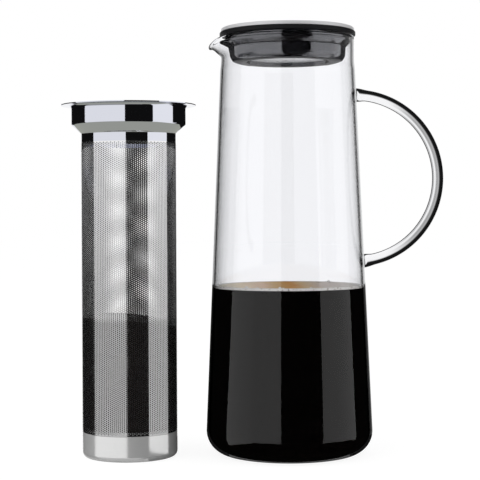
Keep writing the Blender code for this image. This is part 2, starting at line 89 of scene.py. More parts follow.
# Black, white and grey cards that only mirrored rays see. The ones between jug and filter keep
# each from mirroring the other
WHITE = (1.0, 1.0, 1.0)
BLACK_CARD_LEVEL = 0.006
WHITE_CARD_LEVEL = 1.07
FRONT_CARD_ENDS = ((0.352, -0.381), (-0.128, -0.575))
FRONT_CARD_HEIGHTS = (-0.16, 0.7)
LEFT_FLAG_PLACES = ((-0.206, -0.0295), (-0.315, 0.33), (-0.40, 0.60))
RIGHT_FLAG_PLACES = ((0.29, 0.33), (0.18, -0.006))
FLAG_HEIGHTS = (-0.08, 0.6)
FLOOR_CARD_PLACES = ((-0.128, -0.575), (0.47, -0.38), (0.050, -0.045), (-0.010, -0.058))
GAP_CARD_BOTTOM = -0.05
GAP_CARD_TOP = 0.26
GAP_CUP_HEIGHT = 0.2095
JUG_SIDE_X = -0.0565
JUG_SIDE_WHITE = (-0.068, -0.0326)
JUG_SIDE_BLACK = (-0.0326, 0.06)
FILTER_SIDE_X = -0.0590
FILTER_SIDE_FRONT = -0.085
FILTER_SIDE_WHITE_START = -0.0575
TUBE_WHITE_STOP = -0.0162
CUP_WHITE_STOP = -0.0244
FILTER_SIDE_BACK = 0.06
SHOULDER_CARD_RADIUS = 0.060
SHOULDER_CARD_DROP = 0.002
SHOULDER_CARD_LEVEL = 0.40
SHOULDER_CARD_COLOUR = (1.03, 1.05, 0.9)
FOOT_CARD_RADIUS = 0.095
FOOT_CARD_HEIGHT = 0.0006

# Mesh resolution
ROUND_SEGMENTS = 256
SMALL_SEGMENTS = 192
ARC_STEPS = 10
ROUNDING_STEPS = 6
ROUNDING_REACH = 0.45
SHARP_ANGLE = math.radians(40)
AXIS_REACH = 1e-7
SHORTEST = 1e-12

# Jug
JUG_HEIGHT = top_of("jug_body")
JUG_BELLY_RADIUS = radius_of("jug_body")
JUG_CONE_TOP_RADIUS = 0.0438
JUG_SHOULDER_LENGTH = 0.008
JUG_NECK_STEP = 0.0006
JUG_NECK_LENGTH = 0.0142
JUG_CORNER_RADIUS = 0.0155
JUG_WALL = 0.0021
JUG_BASE_THICKNESS = 0.0032
JUG_CONE_RINGS = 24
JUG_SHOULDER_RINGS = 10
JUG_NECK_RINGS = 24
JUG_SUPPORT = 0.0004

# Pouring spout
SPOUT_LENGTH = 0.0129
SPOUT_BEND = math.radians(47)
SPOUT_BEND_SHARE = 0.3
SPOUT_CURL = math.radians(45)
SPOUT_CURL_START_SHARE = 0.55
SPOUT_LIP_SWELL_SHARE = 0.35
SPOUT_LIP_START_SHARE = 0.7
SPOUT_HALF_ANGLE = math.radians(30)
SPOUT_BELL_POWER = 1.5
SPOUT_STEPS = 24

# Handle
HANDLE_RING_RADIUS = 0.054
HANDLE_ROD_RADIUS = 0.0036
HANDLE_CENTRE_INSET = 0.0036
HANDLE_CENTRE_DROP = 0.0918
HANDLE_FLARE = 0.0008
HANDLE_FLARE_LENGTH = 0.007
HANDLE_SIDES = 48
HANDLE_STEPS = 120
HANDLE_END_TRIES = 20
HANDLE_LEAN = 0.5
HANDLE_LEAN_START = 0.0008
# Where along X the rod's painted grey reflection fades in
HANDLE_GREY_START = 0.062
HANDLE_GREY_FULL = 0.085

# Places of the further finishes on the jug, the plug, the tube's bands and the coffee
ROD_FINISH = 1
INSIDE_FINISH = 2
PLUG_FOOT_FINISH = 1
PLUG_DISC_FINISH = 2
BACK_FINISH = 1
SURFACE_FINISH = 1

# Coffee. A bubble is its X, its side along Y and its radius
COFFEE_HEIGHT = top_of("coffee")
COFFEE_OVERLAP = 0.00005
COFFEE_FADE = 0.001
MENISCUS_RISE = 0.0003
MENISCUS_DROP = 0.0014
MENISCUS_WIDTH = 0.0016
MENISCUS_OVERLAP = 0.00006
MENISCUS_STEPS = 8
MENISCUS_POWER = 2.2
BUBBLE_RINGS = 6
BUBBLE_SEGMENTS = 24
BUBBLES = (
    (-0.0272, -1, 0.0012),
    (-0.0205, -1, 0.0008),
    (-0.0068, -1, 0.0011),
    (-0.0048, -1, 0.0007),
    (0.0122, -1, 0.0009),
    (0.0284, 1, 0.0013),
)

# Lid
LID_FLANGE_RADIUS = radius_of("lid_plate")
LID_FLANGE_THICKNESS = 0.0028
LID_FLANGE_EDGE = 0.0007
LID_FLANGE_BOTTOM = 0.0003
LID_SPIGOT_DEPTH = 0.003
CAP_RADIUS = radius_of("lid_cap")
CAP_TOP = top_of("lid_cap")
CAP_BOTTOM = bottom_of("lid_cap")
CAP_SHEET = 0.0006
CAP_BEND_RADIUS = 0.0005
PAD_THICKNESS = 0.0006
PLUG_RADIUS = radius_of("lid_plug")
PLUG_BOTTOM = bottom_of("lid_plug")
PLUG_TOP = top_of("lid_plug")
PLUG_TAPER = 0.0002
PLUG_CORNER_RADIUS = 0.0052
PLUG_WALL = 0.0018
PLUG_SEAT_DEPTH = 0.0013
PLUG_RECESS_RADIUS = 0.0267
PLUG_RECESS_DEPTH = 0.0025
PLUG_MATT_NORMAL = -0.9
SEAL_RADIUS = radius_of("lid_seal")
SEAL_HEIGHT = 0.0067
SEAL_WAIST_DEPTH = 0.0016
SEAL_FOOT_THICKNESS = 0.0014
SEAL_COLLAR_INSET = 0.0006
SEAL_ROUNDING = 0.0003
SEAL_SPRING = 0.0031
SEAL_SPRING_ANGLE = math.radians(26)
SEAL_SPRING_TOP_SHARE = 0.3

# Filter
FILTER_X = (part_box("filter_base")[0].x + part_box("filter_base")[1].x) / 2
FILTER_Y = (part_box("filter_base")[0].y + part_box("filter_base")[1].y) / 2
FILTER_AXIS = (FILTER_X, FILTER_Y)
FILTER_HEIGHT = top_of("filter_rim")
FILTER_FLANGE_RADIUS = radius_of("filter_rim")
FILTER_SHEET = 0.0006
FILTER_FLANGE_FILLET = 0.0023
FILTER_CUP_RADIUS = 0.0369
FILTER_CUP_DEPTH = 0.0124
FILTER_CUP_CORNER = 0.0016
FILTER_SHOULDER_HEIGHT = 0.0057
FILTER_NECK_LIP = FILTER_SHEET / 4
FILTER_TUBE_RADIUS = radius_of("filter_tube")
FILTER_TUBE_TOP = top_of("filter_tube")
FILTER_TUBE_BOTTOM = bottom_of("filter_tube")
FILTER_TUBE_SHEET = 0.0004
FILTER_COLLAR_LENGTH = 0.0022
FILTER_COLLAR_SHEET = 0.0005
FILTER_BASE_CORNER = 0.0036
FIT_GAP = 0.0003
FILTER_NECK_ROUNDING = FIT_GAP * 2
FILTER_BASE_ROUNDING = FIT_GAP / 2

# Holes in the filter's tube, in staggered half rows
HOLE_COLUMNS = 74
HOLE_HALF_ROWS = 289
HOLE_RADIUS = 0.00048
HOLE_SIDES = 8
HOLE_BANDS = 5
HOLE_PLAIN_BOTTOM = 0.0004

# Grounds in the filter
GROUNDS_HEIGHT = top_of("coffee_grounds")
GROUNDS_HEAP_RISE = 0.0015
GROUNDS_SLOPE_DROP = 0.006
GROUNDS_ROUGHNESS_HEIGHT = 0.0009
GROUNDS_CRUMB_SCALE = 600
GROUNDS_CRUMB_FRACTAL = (1.0, 2.0, 4)
GROUNDS_EDGE_CRUMBS = 0.3
GROUNDS_CRUMB_GROWTH = 6
GROUNDS_TOP_RISE = 0.99
GROUNDS_CORNER_STEPS = 4
GROUNDS_SIDE_RINGS = 30
GROUNDS_TOP_RINGS = 24

# Sizes that follow from the ones above
JUG_NECK_RADIUS = JUG_CONE_TOP_RADIUS - JUG_NECK_STEP
JUG_NECK_BOTTOM = JUG_HEIGHT - JUG_NECK_LENGTH
JUG_CONE_TOP = JUG_NECK_BOTTOM - JUG_SHOULDER_LENGTH
JUG_FOOT_RADIUS = JUG_BELLY_RADIUS - JUG_CORNER_RADIUS
HANDLE_CENTRE_HEIGHT = JUG_HEIGHT - HANDLE_CENTRE_DROP
PLUG_SEAT_RADIUS = PLUG_RADIUS - PLUG_SEAT_DEPTH
PLUG_BORE_RADIUS = PLUG_SEAT_RADIUS - PLUG_WALL
FILTER_TUBE_BORE = FILTER_TUBE_RADIUS - FILTER_TUBE_SHEET
FILTER_CUP_BOTTOM = FILTER_HEIGHT - FILTER_SHEET - FILTER_CUP_DEPTH
FILTER_NECK_TOP = FILTER_CUP_BOTTOM - FILTER_SHOULDER_HEIGHT
FILTER_BASE_HEIGHT = FILTER_TUBE_BOTTOM - FIT_GAP
HALF_ROW_PITCH = (FILTER_TUBE_TOP - FILTER_TUBE_BOTTOM - 2 * HOLE_PLAIN_BOTTOM) / (HOLE_HALF_ROWS + 1)

# Glass: its painted shade towards its edges, for the dark surroundings they mirror and bend, as
# stops of (facing, level), and the ranges of facing over which its index falls off
WALL_LEFT_STOPS = (
    (0.0, 1.0), (0.22, 0.97), (0.40, 0.81), (0.50, 0.66), (0.555, 0.46), (0.61, 0.27), (0.65, 0.21),
    (0.685, 0.13), (0.73, 0.02), (0.785, 0.02), (0.86, 0.18), (1.0, 0.5)
)
WALL_RIGHT_STOPS = (
    (0.0, 1.0), (0.30, 0.98), (0.46, 0.90), (0.55, 0.76), (0.61, 0.53), (0.64, 0.42), (0.68, 0.06),
    (0.72, 0.03), (0.775, 0.1), (0.845, 0.43), (1.0, 0.8)
)
WALL_COFFEE_STOPS = ((0.0, 1.0), (0.45, 0.95), (0.62, 0.3), (0.72, 0.01), (1.0, 0.0))
WALL_INSIDE_STOPS = ((0.0, 1.0), (0.6, 0.99), (0.85, 0.9), (1.0, 0.8))
SPOUT_STOPS = ((0.0, 1.0), (0.42, 0.97), (0.56, 0.55), (0.66, 0.04), (0.78, 0.01), (1.0, 0.01))
ROD_EDGE_STOPS = ((0.0, 1.0), (0.17, 0.96), (0.27, 0.01), (1.0, 0.0))
# The rod's stops that hold its painted grey reflection
ROD_GREY_STOPS = (
    (0.0, 1.0), (0.006, 0.9), (0.02, 0.55), (0.045, 0.3), (0.095, 0.36), (0.16, 0.62), (0.27, 0.01),
    (1.0, 0.0)
)
GLASS_TONES = ((0.965, 0.968, 0.984), (0.978, 0.981, 0.995))
GLASS_TONE_SCALE = 30.0
GLASS_IOR = 1.42
GLASS_LOOKS = {"Roughness": 0.0, "IOR": GLASS_IOR, "Transmission Weight": 1.0}
NECK_IOR = 1.15
NECK_IOR_HEIGHTS = (PLUG_BOTTOM - 0.004, PLUG_BOTTOM - 0.001)
EDGE_IOR = 1.02
ENTERING_FADE = (0.70, 0.80)
LEAVING_FADE = (0.26, 0.60)
BESIDE_COFFEE_FADE = (0.60, 0.72)
ROD_FADE = (0.18, 0.26)

# Liquids: the surface's colours run along X, as painted reflections and painted amber light
COFFEE_PAINTED_LIGHT_STOPS = (
    (0.0, (0.86, 0.84, 0.82)),
    (0.09, (0.98, 0.94, 0.82)),
    (0.20, (0.92, 0.79, 0.60)),
    (0.34, (0.80, 0.59, 0.44)),
    (0.42, (0.62, 0.40, 0.18)),
    (0.52, (0.62, 0.32, 0.12)),
    (0.60, (0.66, 0.50, 0.32)),
    (0.70, (0.62, 0.54, 0.49)),
    (1.0, (0.80, 0.78, 0.75)),
)
COFFEE_SURFACE_LOOKS = {"Roughness": 0.3, "Specular IOR Level": 0.0}
COFFEE_RIPPLE = 0.12
COFFEE_RIPPLE_SCALE = 120.0
NOISE_MIDDLE = 0.5
COFFEE_LOW_VIEW = (0.75, 0.93)
COFFEE_DEEP_TONES = ((0.006, 0.003, 0.002), (0.012, 0.006, 0.003))
COFFEE_DEEP_SCALE = 40.0
LIQUID_LOOKS = {"Roughness": 0.05, "IOR": 1.33}
# The near-white of the meniscus and bubbles is a painted highlight of the light they gather
LIQUID_PAINTED_HIGHLIGHT_TONES = ((0.97, 0.94, 0.90), (1.0, 0.99, 0.97))
LIQUID_TONE_SCALE = 220.0
LIQUID_GAP_TONE = (0.25, 0.20, 0.16)
FROTH_NOISE = (700.0, 3.0)
FROTH_GAPS = (0.30, 0.46, 0.0, 1.0)
FROTH_CLEAR = (0.4, 0.6, 0.0, 0.15)

# Steels: the two tones of their lines, range of roughness, scale and depth of the lines, metalness
STEELS = {
    "cap_steel": (((0.64, 0.64, 0.65), (0.73, 0.73, 0.74)), (0.45, 0.55), 9000.0, 1e-7, 0.25),
    # The plug's disc is not metal: its near-white is a painted reflection of the white surroundings
    "plug_disc_painted_highlight": (((0.90, 0.90, 0.91), (0.95, 0.95, 0.96)), (0.2, 0.3), 4000.0, 1e-7, 0.0),
    "polished_steel": (((0.665, 0.68, 0.75), (0.70, 0.715, 0.785)), (0.02, 0.05), 5000.0, 2e-7, 1.0),
    "perforated_steel_inside": (((0.20, 0.20, 0.20), (0.26, 0.26, 0.26)), (0.3, 0.4), 3000.0, 5e-7, 1.0),
    "satin_steel": (((0.78, 0.78, 0.78), (0.84, 0.84, 0.835)), (0.14, 0.20), 6000.0, 5e-7, 0.5),
}
SMEAR_NOISE = (35.0, 3.0)
SMEAR_RANGE = (0.3, 0.7)
STREAK_DRIFT = 0.02
STREAK_DETAIL = 3.0

# The tube's sheet: tones beside the grounds, just above them and at the top, lighter upwards as painted
# light
SHEET_TONES = (
    ((0.45, 0.45, 0.45), (0.51, 0.51, 0.51)),
    ((0.62, 0.62, 0.62), (0.68, 0.68, 0.68)),
    ((0.80, 0.80, 0.81), (0.86, 0.86, 0.87)),
)
SHEET_LINE_SCALE = 3000.0
SHEET_ROUGHNESS = (0.08, 0.14)
SHEET_METAL = 0.975
SHEET_GROUNDS_FADE = (GROUNDS_HEIGHT - 0.003, GROUNDS_HEIGHT + 0.002)

# Mirroring blacks: noise of the tone, its two tones, roughness over a range of that noise, noise
# of the grain and the grain's depth
BLACK_IOR = 1.8
BLACK_FADE = (0.57, 0.62)
BLACK_LOOKS = {"IOR": BLACK_IOR, "Specular IOR Level": 0.9, "Specular Tint": (0.95, 0.96, 1.0)}
MIRRORING_BLACKS = {
    "black_plastic": (
        (60.0, 3.0), ((0.006, 0.006, 0.007), (0.010, 0.010, 0.012)),
        (0.3, 0.7, 0.015, 0.03), (2600.0, 2.0), 3e-7
    ),
    "black_silicone": (
        (1500.0, 3.0), ((0.007, 0.007, 0.0075), (0.013, 0.013, 0.014)),
        (0.2, 0.8, 0.06, 0.10), (1500.0, 3.0), 8e-7
    ),
}

# Plain finishes: noise of the tone, its two tones, roughness, specular level, depth of the grain
MATT_BLACK_TONES = ((0.008, 0.008, 0.009), (0.013, 0.013, 0.014))
PLAIN_FINISHES = {
    "coffee_body": ((18.0, 2.0), ((0.0012, 0.0009, 0.0008), (0.0024, 0.0018, 0.0015)), 0.9, 0.0, 0.0),
    "black_plastic_satin": ((1800.0, 3.0), MATT_BLACK_TONES, 0.5, 0.1, 0.0),
    "black_plastic_foot": ((1800.0, 3.0), MATT_BLACK_TONES, 0.5, 0.12, 0.0),
    "bonding_pad": ((1800.0, 3.0), ((0.22, 0.22, 0.21), (0.36, 0.36, 0.34)), 0.8, 0.5, 0.00005),
}
GROUNDS_LOOKS = {"Specular IOR Level": 0.25}
GROUNDS_TONES = ((0.060, 0.036, 0.026), (0.024, 0.014, 0.010))
GROUNDS_DARK_TONE = (0.010, 0.0055, 0.0035)
GROUNDS_GRAIN_SCALE = 900.0
GROUNDS_GRAIN_DEPTH = 0.0004
GROUNDS_CLUMPS = (160.0, 4.0)
GROUNDS_ROUGHNESS = (0.35, 0.65, 0.55, 0.85)

# Shapes


def smooth_share(value):
    """A share from 0 to 1 that starts and ends level."""
    held = min(max(value, 0.0), 1.0)
    return held * held * (3 - 2 * held)


def arc(centre_r, centre_z, radius, start_degrees, stop_degrees, steps=ARC_STEPS):
    """Points (r, z) along an arc, both ends included."""
    points = []
    for step in range(steps + 1):
        angle = math.radians(start_degrees + (stop_degrees - start_degrees) * step / steps)
        points.append((centre_r + radius * math.cos(angle), centre_z + radius * math.sin(angle)))
    return points


def rounded(path, radius, closed=False):
    """The path of (r, z) corners with each corner eased into a curve of about that radius."""
    eased = []
    count = len(path)
    for index, corner in enumerate(path):
        if not closed and index in (0, count - 1):
            eased.append(corner)
            continue
        here = Vector(corner)
        before = Vector(path[index - 1]) - here
        after = Vector(path[(index + 1) % count]) - here
        bend = math.pi - before.angle(after)
        longest = min(before.length, after.length) * ROUNDING_REACH
        reach = min(radius * math.tan(bend / 2), longest)
        start = here + before.normalized() * reach
        stop = here + after.normalized() * reach
        for step in range(ROUNDING_STEPS + 1):
            share = step / ROUNDING_STEPS
            eased.append(tuple(start.lerp(here, share).lerp(here.lerp(stop, share), share)))
    return eased


def lathe(outline, segments, closed=False):
    """Vertices and faces of an outline of (r, z) points turned round the Z axis.

    The outline runs up its outer side. An open one starts and ends on the axis.
    """
    rings = []
    vertices = []
    for r, z in outline:
        if r < AXIS_REACH:
            rings.append([len(vertices)] * segments)
            vertices.append((0.0, 0.0, z))
            continue
        rings.append([len(vertices) + step for step in range(segments)])
        for step in range(segments):
            angle = 2 * math.pi * step / segments
            vertices.append((r * math.cos(angle), r * math.sin(angle), z))
    pairs = list(zip(rings, rings[1:]))
    if closed:
        pairs.append((rings[-1], rings[0]))
    faces = []
    for low, high in pairs:
        for step in range(segments):
            after = (step + 1) % segments
            face = [low[step], low[after], high[after], high[step]]
            faces.append([v for n, v in enumerate(face) if v not in face[:n]])
    return vertices, faces


def new_piece(name, vertices, faces, finishes):
    """A mesh object at the origin with these materials."""
    mesh = bpy.data.meshes.new(name)
    mesh.from_pydata(vertices, [], faces)
    for finish in finishes:
        mesh.materials.append(finish)
    mesh.shade_smooth()
    piece = bpy.data.objects.new(name, mesh)
    bpy.context.scene.collection.objects.link(piece)
    return piece


def settle(piece, body, slot, *nodes, place=(0.0, 0.0)):
    """Moves a turned piece's mesh to its axis, hangs it on its body and hides the nodes that it replaces.
    """
    piece.data.transform(Matrix.Translation((*place, 0.0)))
    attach(piece, body)
    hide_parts(*nodes)


def turned_piece(name, outline, *finishes, closed=False):
    """A turned piece with sharp creases kept and its broad faces shaded true."""
    vertices, faces = lathe(outline, ROUND_SEGMENTS, closed)
    piece = new_piece(name, vertices, faces, finishes)
    piece.data.set_sharp_from_angle(angle=SHARP_ANGLE)
    weighted = piece.modifiers.new("Weighted normals", "WEIGHTED_NORMAL")
    weighted.keep_sharp = True
    return piece


# Node helpers: a value is a socket to link, or a plain number or colour


def feed(tree, socket, value):
    """Links a socket to an input, or writes a plain value there."""
    if isinstance(value, bpy.types.NodeSocket):
        tree.links.new(value, socket)
    elif socket.type == "RGBA":
        socket.default_value = (*value, 1.0)
    else:
        socket.default_value = value


def calculate(tree, operation, first, second=0.0):
    """A Math node's result."""
    made = tree.nodes.new("ShaderNodeMath")
    made.operation = operation
    feed(tree, made.inputs[0], first)
    feed(tree, made.inputs[1], second)
    return made.outputs[0]


def spread(tree, value, low, high, to_low, to_high, way="SMOOTHSTEP"):
    """The value carried from one range to another, smoothly unless the way is LINEAR."""
    made = tree.nodes.new("ShaderNodeMapRange")
    made.interpolation_type = way
    for name, given in (
        ("Value", value), ("From Min", low), ("From Max", high), ("To Min", to_low), ("To Max", to_high)
    ):
        feed(tree, made.inputs[name], given)
    return made.outputs["Result"]


# A Mix node's first socket to mix and its result, by kind
MIX_SOCKETS = {"FLOAT": (2, 0), "RGBA": (6, 2)}


def blend(tree, share, first, second, kind="RGBA"):
    """A mix of two colours, or of two values where the kind is FLOAT."""
    made = tree.nodes.new("ShaderNodeMix")
    made.data_type = kind
    start, result = MIX_SOCKETS[kind]
    feed(tree, made.inputs[0], share)
    feed(tree, made.inputs[start], first)
    feed(tree, made.inputs[start + 1], second)
    return made.outputs[result]


def ramp(tree, value, stops):
    """A colour that follows stops of (place, grey level or colour)."""
    made = tree.nodes.new("ShaderNodeValToRGB")
    feed(tree, made.inputs["Fac"], value)
    elements = made.color_ramp.elements
    while len(elements) < len(stops):
        elements.new(0.5)
    for element, (place, tone) in zip(elements, stops):
        element.position = place
        element.color = (*tone, 1.0) if isinstance(tone, tuple) else (tone, tone, tone, 1.0)
    return made.outputs["Color"]


def object_place(tree):
    """The surface point in the piece's own space."""
    return tree.nodes.new("ShaderNodeTexCoord").outputs["Object"]


def along_axis(tree, axis, place=None):
    """X, Y or Z of a place, which is the surface point unless another is given."""
    parts = tree.nodes.new("ShaderNodeSeparateXYZ")
    feed(tree, parts.inputs[0], object_place(tree) if place is None else place)
    return parts.outputs[axis]


def facing_value(tree):
    """How far the surface turns away from the eye, from 0 to 1."""
    return tree.nodes.new("ShaderNodeLayerWeight").outputs["Facing"]


def noise_level(tree, scale, detail=2.0, place=None):
    """A noise texture's level, at the surface point unless another place is given."""
    made = tree.nodes.new("ShaderNodeTexNoise")
    feed(tree, made.inputs["Vector"], object_place(tree) if place is None else place)
    feed(tree, made.inputs["Scale"], scale)
    feed(tree, made.inputs["Detail"], detail)
    return made.outputs["Fac"]


def bump(tree, height, distance):
    """A bumped normal."""
    made = tree.nodes.new("ShaderNodeBump")
    feed(tree, made.inputs["Strength"], 1.0)
    feed(tree, made.inputs["Distance"], distance)
    feed(tree, made.inputs["Height"], height)
    return made.outputs["Normal"]


def turned_streaks(tree, axis, scale):
    """Noise that is drawn out into fine lines round an upright axis."""
    offs = [calculate(tree, "SUBTRACT", along_axis(tree, name), at) for name, at in zip("XY", axis)]
    squares = [calculate(tree, "POWER", off, 2.0) for off in offs]
    joined = tree.nodes.new("ShaderNodeCombineXYZ")
    feed(tree, joined.inputs["X"], calculate(tree, "SQRT", calculate(tree, "ADD", *squares)))
    feed(tree, joined.inputs["Y"], along_axis(tree, "Z"))
    feed(tree, joined.inputs["Z"], calculate(tree, "MULTIPLY", offs[0], STREAK_DRIFT))
    return noise_level(tree, scale, STREAK_DETAIL, joined.outputs[0])


def smeared(tree, low, high):
    """A roughness that smears over the surface between two values."""
    return spread(tree, noise_level(tree, *SMEAR_NOISE), *SMEAR_RANGE, low, high)


def new_material(name, looks):
    """A material with its node tree and its shader, whose named inputs get these plain values."""
    made = bpy.data.materials.new(name)
    made.use_nodes = True
    tree = made.node_tree
    shader = tree.nodes["Principled BSDF"]
    for socket, value in looks.items():
        feed(tree, shader.inputs[socket], value)
    return made, tree, shader


# Materials


def glass_material(name, edge_shade, edge_gloss):
    """Clear glass that darkens towards its edges as painted shade and loses its gloss there.

    edge_shade and edge_gloss make the darkening and the index from the node tree and the facing
    value.
    """
    made, tree, shader = new_material(name, GLASS_LOOKS)
    facing = facing_value(tree)
    multiply = tree.nodes.new("ShaderNodeVectorMath")
    multiply.operation = "MULTIPLY"
    feed(tree, multiply.inputs[0], edge_shade(tree, facing))
    feed(tree, multiply.inputs[1], blend(tree, noise_level(tree, GLASS_TONE_SCALE), *GLASS_TONES))
    feed(tree, shader.inputs["Base Color"], multiply.outputs[0])
    feed(tree, shader.inputs["IOR"], edge_gloss(tree, facing))
    return made


def from_inside(tree):
    """1 where a ray inside the glass meets its outer surface."""
    return tree.nodes.new("ShaderNodeNewGeometry").outputs["Backfacing"]


def coffee_share(tree):
    """1 where coffee is behind the glass, and 0 above it."""
    low, high = COFFEE_HEIGHT - COFFEE_FADE, COFFEE_HEIGHT + COFFEE_FADE
    return spread(tree, along_axis(tree, "Z"), low, high, 1.0, 0.0)


def glass_index(tree):
    """The glass's index, lower in the neck so that the lid's plug shows through it."""
    return spread(tree, along_axis(tree, "Z"), *NECK_IOR_HEIGHTS, GLASS_IOR, NECK_IOR)


def wall_shade(tree, facing):
    """The jug wall's painted shade towards its edges, which differs by side, by height and on the spout.
    """
    x = along_axis(tree, "X")
    side = spread(tree, x, -JUG_WALL, JUG_WALL, 0.0, 1.0)
    left = ramp(tree, facing, WALL_LEFT_STOPS)
    entering = blend(tree, side, left, ramp(tree, facing, WALL_RIGHT_STOPS))
    plain = blend(tree, from_inside(tree), entering, WHITE)
    at_coffee = blend(tree, coffee_share(tree), plain, ramp(tree, facing, WALL_COFFEE_STOPS))
    out = spread(tree, x, -JUG_NECK_RADIUS - JUG_WALL, -JUG_NECK_RADIUS, 1.0, 0.0)
    height = along_axis(tree, "Z")
    up = spread(tree, height, JUG_NECK_BOTTOM, JUG_NECK_BOTTOM + JUG_WALL, 0.0, 1.0)
    on_spout = calculate(tree, "MULTIPLY", out, up)
    return blend(tree, on_spout, at_coffee, ramp(tree, facing, SPOUT_STOPS))


def wall_gloss(tree, facing):
    """The jug wall's index, which falls off sooner above the coffee than beside it."""
    index = glass_index(tree)
    entering = spread(tree, facing, *ENTERING_FADE, index, EDGE_IOR)
    leaving = spread(tree, facing, *LEAVING_FADE, index, EDGE_IOR)
    above = blend(tree, from_inside(tree), entering, leaving, "FLOAT")
    beside = spread(tree, facing, *BESIDE_COFFEE_FADE, GLASS_IOR, EDGE_IOR)
    return blend(tree, coffee_share(tree), above, beside, "FLOAT")


def inside_shade(tree, facing):
    """The inner wall's shade, which hardly changes."""
    return ramp(tree, facing, WALL_INSIDE_STOPS)


def inside_gloss(tree, _facing):
    """The inner wall's index, without a fall-off."""
    return glass_index(tree)


def rod_shade(tree, facing):
    """The handle rod's painted shade at its edges, with a painted grey reflection along its outer reach.
    """
    share = spread(tree, along_axis(tree, "X"), HANDLE_GREY_START, HANDLE_GREY_FULL, 0.0, 1.0)
    return blend(tree, share, ramp(tree, facing, ROD_EDGE_STOPS), ramp(tree, facing, ROD_GREY_STOPS))


def rod_gloss(tree, facing):
    """The rod's index, which falls off where its dark edge starts."""
    return spread(tree, facing, *ROD_FADE, GLASS_IOR, EDGE_IOR)


def liquid_edge_material():
    """The thin clear edge of the coffee where it climbs the glass, with froth in it, near-white as a
    painted highlight.
    """
    made, tree, shader = new_material("coffee_meniscus", LIQUID_LOOKS)
    froth = noise_level(tree, *FROTH_NOISE)
    painted_highlight_tone = blend(tree, noise_level(tree, LIQUID_TONE_SCALE), *LIQUID_PAINTED_HIGHLIGHT_TONES)
    gaps = spread(tree, froth, *FROTH_GAPS)
    feed(tree, shader.inputs["Base Color"], blend(tree, gaps, LIQUID_GAP_TONE, painted_highlight_tone))
    feed(tree, shader.inputs["Transmission Weight"], spread(tree, froth, *FROTH_CLEAR))
    return made


def coffee_surface_material():
    """The coffee's still surface: dark from above, and from the side grey, tan and amber as painted light.
    """
    made, tree, shader = new_material("coffee_surface", COFFEE_SURFACE_LOOKS)
    belly = JUG_BELLY_RADIUS
    across = spread(tree, along_axis(tree, "X"), -belly, belly, 0.0, 1.0, "LINEAR")
    ripple = calculate(tree, "SUBTRACT", noise_level(tree, COFFEE_RIPPLE_SCALE), NOISE_MIDDLE)
    along = calculate(tree, "ADD", across, calculate(tree, "MULTIPLY", ripple, COFFEE_RIPPLE))
    low_share = spread(tree, facing_value(tree), *COFFEE_LOW_VIEW, 0.0, 1.0)
    from_above = blend(tree, noise_level(tree, COFFEE_DEEP_SCALE), *COFFEE_DEEP_TONES)
    # Painted light: the grey reflections and the amber light through the coffee, across the surface
    painted_side_light = ramp(tree, along, COFFEE_PAINTED_LIGHT_STOPS)
    feed(tree, shader.inputs["Base Color"], blend(tree, low_share, from_above, painted_side_light))
    return made


def steel_material(name, axis=(0.0, 0.0)):
    """Turned or rolled steel: fine lines round the axis in its tone, gloss and surface."""
    tones, roughness, line_scale, line_depth, metal = STEELS[name]
    made, tree, shader = new_material(name, {"Metallic": metal})
    streaks = turned_streaks(tree, axis, line_scale)
    feed(tree, shader.inputs["Base Color"], blend(tree, streaks, *tones))
    feed(tree, shader.inputs["Roughness"], smeared(tree, *roughness))
    feed(tree, shader.inputs["Normal"], bump(tree, streaks, line_depth))
    return made


def perforated_steel_material():
    """The tube's sheet: darker beside the grounds, and lighter towards its top as painted light."""
    made, tree, shader = new_material("perforated_steel", {"Metallic": SHEET_METAL})
    streaks = turned_streaks(tree, FILTER_AXIS, SHEET_LINE_SCALE)
    wet, above_grounds_tone, painted_light_top_tone = [blend(tree, streaks, *tones) for tones in SHEET_TONES]
    height = along_axis(tree, "Z")
    upper = spread(tree, height, GROUNDS_HEIGHT, FILTER_TUBE_TOP, 0.0, 1.0)
    above = spread(tree, height, *SHEET_GROUNDS_FADE, 0.0, 1.0)
    # Painted light: the sheet lightens from above the grounds up to the tube's top
    upper_tone = blend(tree, upper, above_grounds_tone, painted_light_top_tone)
    feed(tree, shader.inputs["Base Color"], blend(tree, above, wet, upper_tone))
    feed(tree, shader.inputs["Roughness"], smeared(tree, *SHEET_ROUGHNESS))
    return made


def mirroring_black_material(name):
    """Black with a fine moulded grain, that mirrors except along its sides."""
    tone_noise, tones, roughness, grain, depth = MIRRORING_BLACKS[name]
    made, tree, shader = new_material(name, BLACK_LOOKS)
    level = noise_level(tree, *tone_noise)
    feed(tree, shader.inputs["Base Color"], blend(tree, level, *tones))
    feed(tree, shader.inputs["Roughness"], spread(tree, level, *roughness))
    feed(tree, shader.inputs["IOR"], spread(tree, facing_value(tree), *BLACK_FADE, BLACK_IOR, 1.0))
    feed(tree, shader.inputs["Normal"], bump(tree, noise_level(tree, *grain), depth))
    return made


def plain_material(name):
    """A finish of one gloss whose tone, and surface where it has a grain, vary a little."""
    tone_noise, tones, roughness, specular, depth = PLAIN_FINISHES[name]
    looks = {"Roughness": roughness, "Specular IOR Level": specular}
    made, tree, shader = new_material(name, looks)
    level = noise_level(tree, *tone_noise)
    feed(tree, shader.inputs["Base Color"], blend(tree, level, *tones))
    if depth:
        feed(tree, shader.inputs["Normal"], bump(tree, level, depth))
    return made


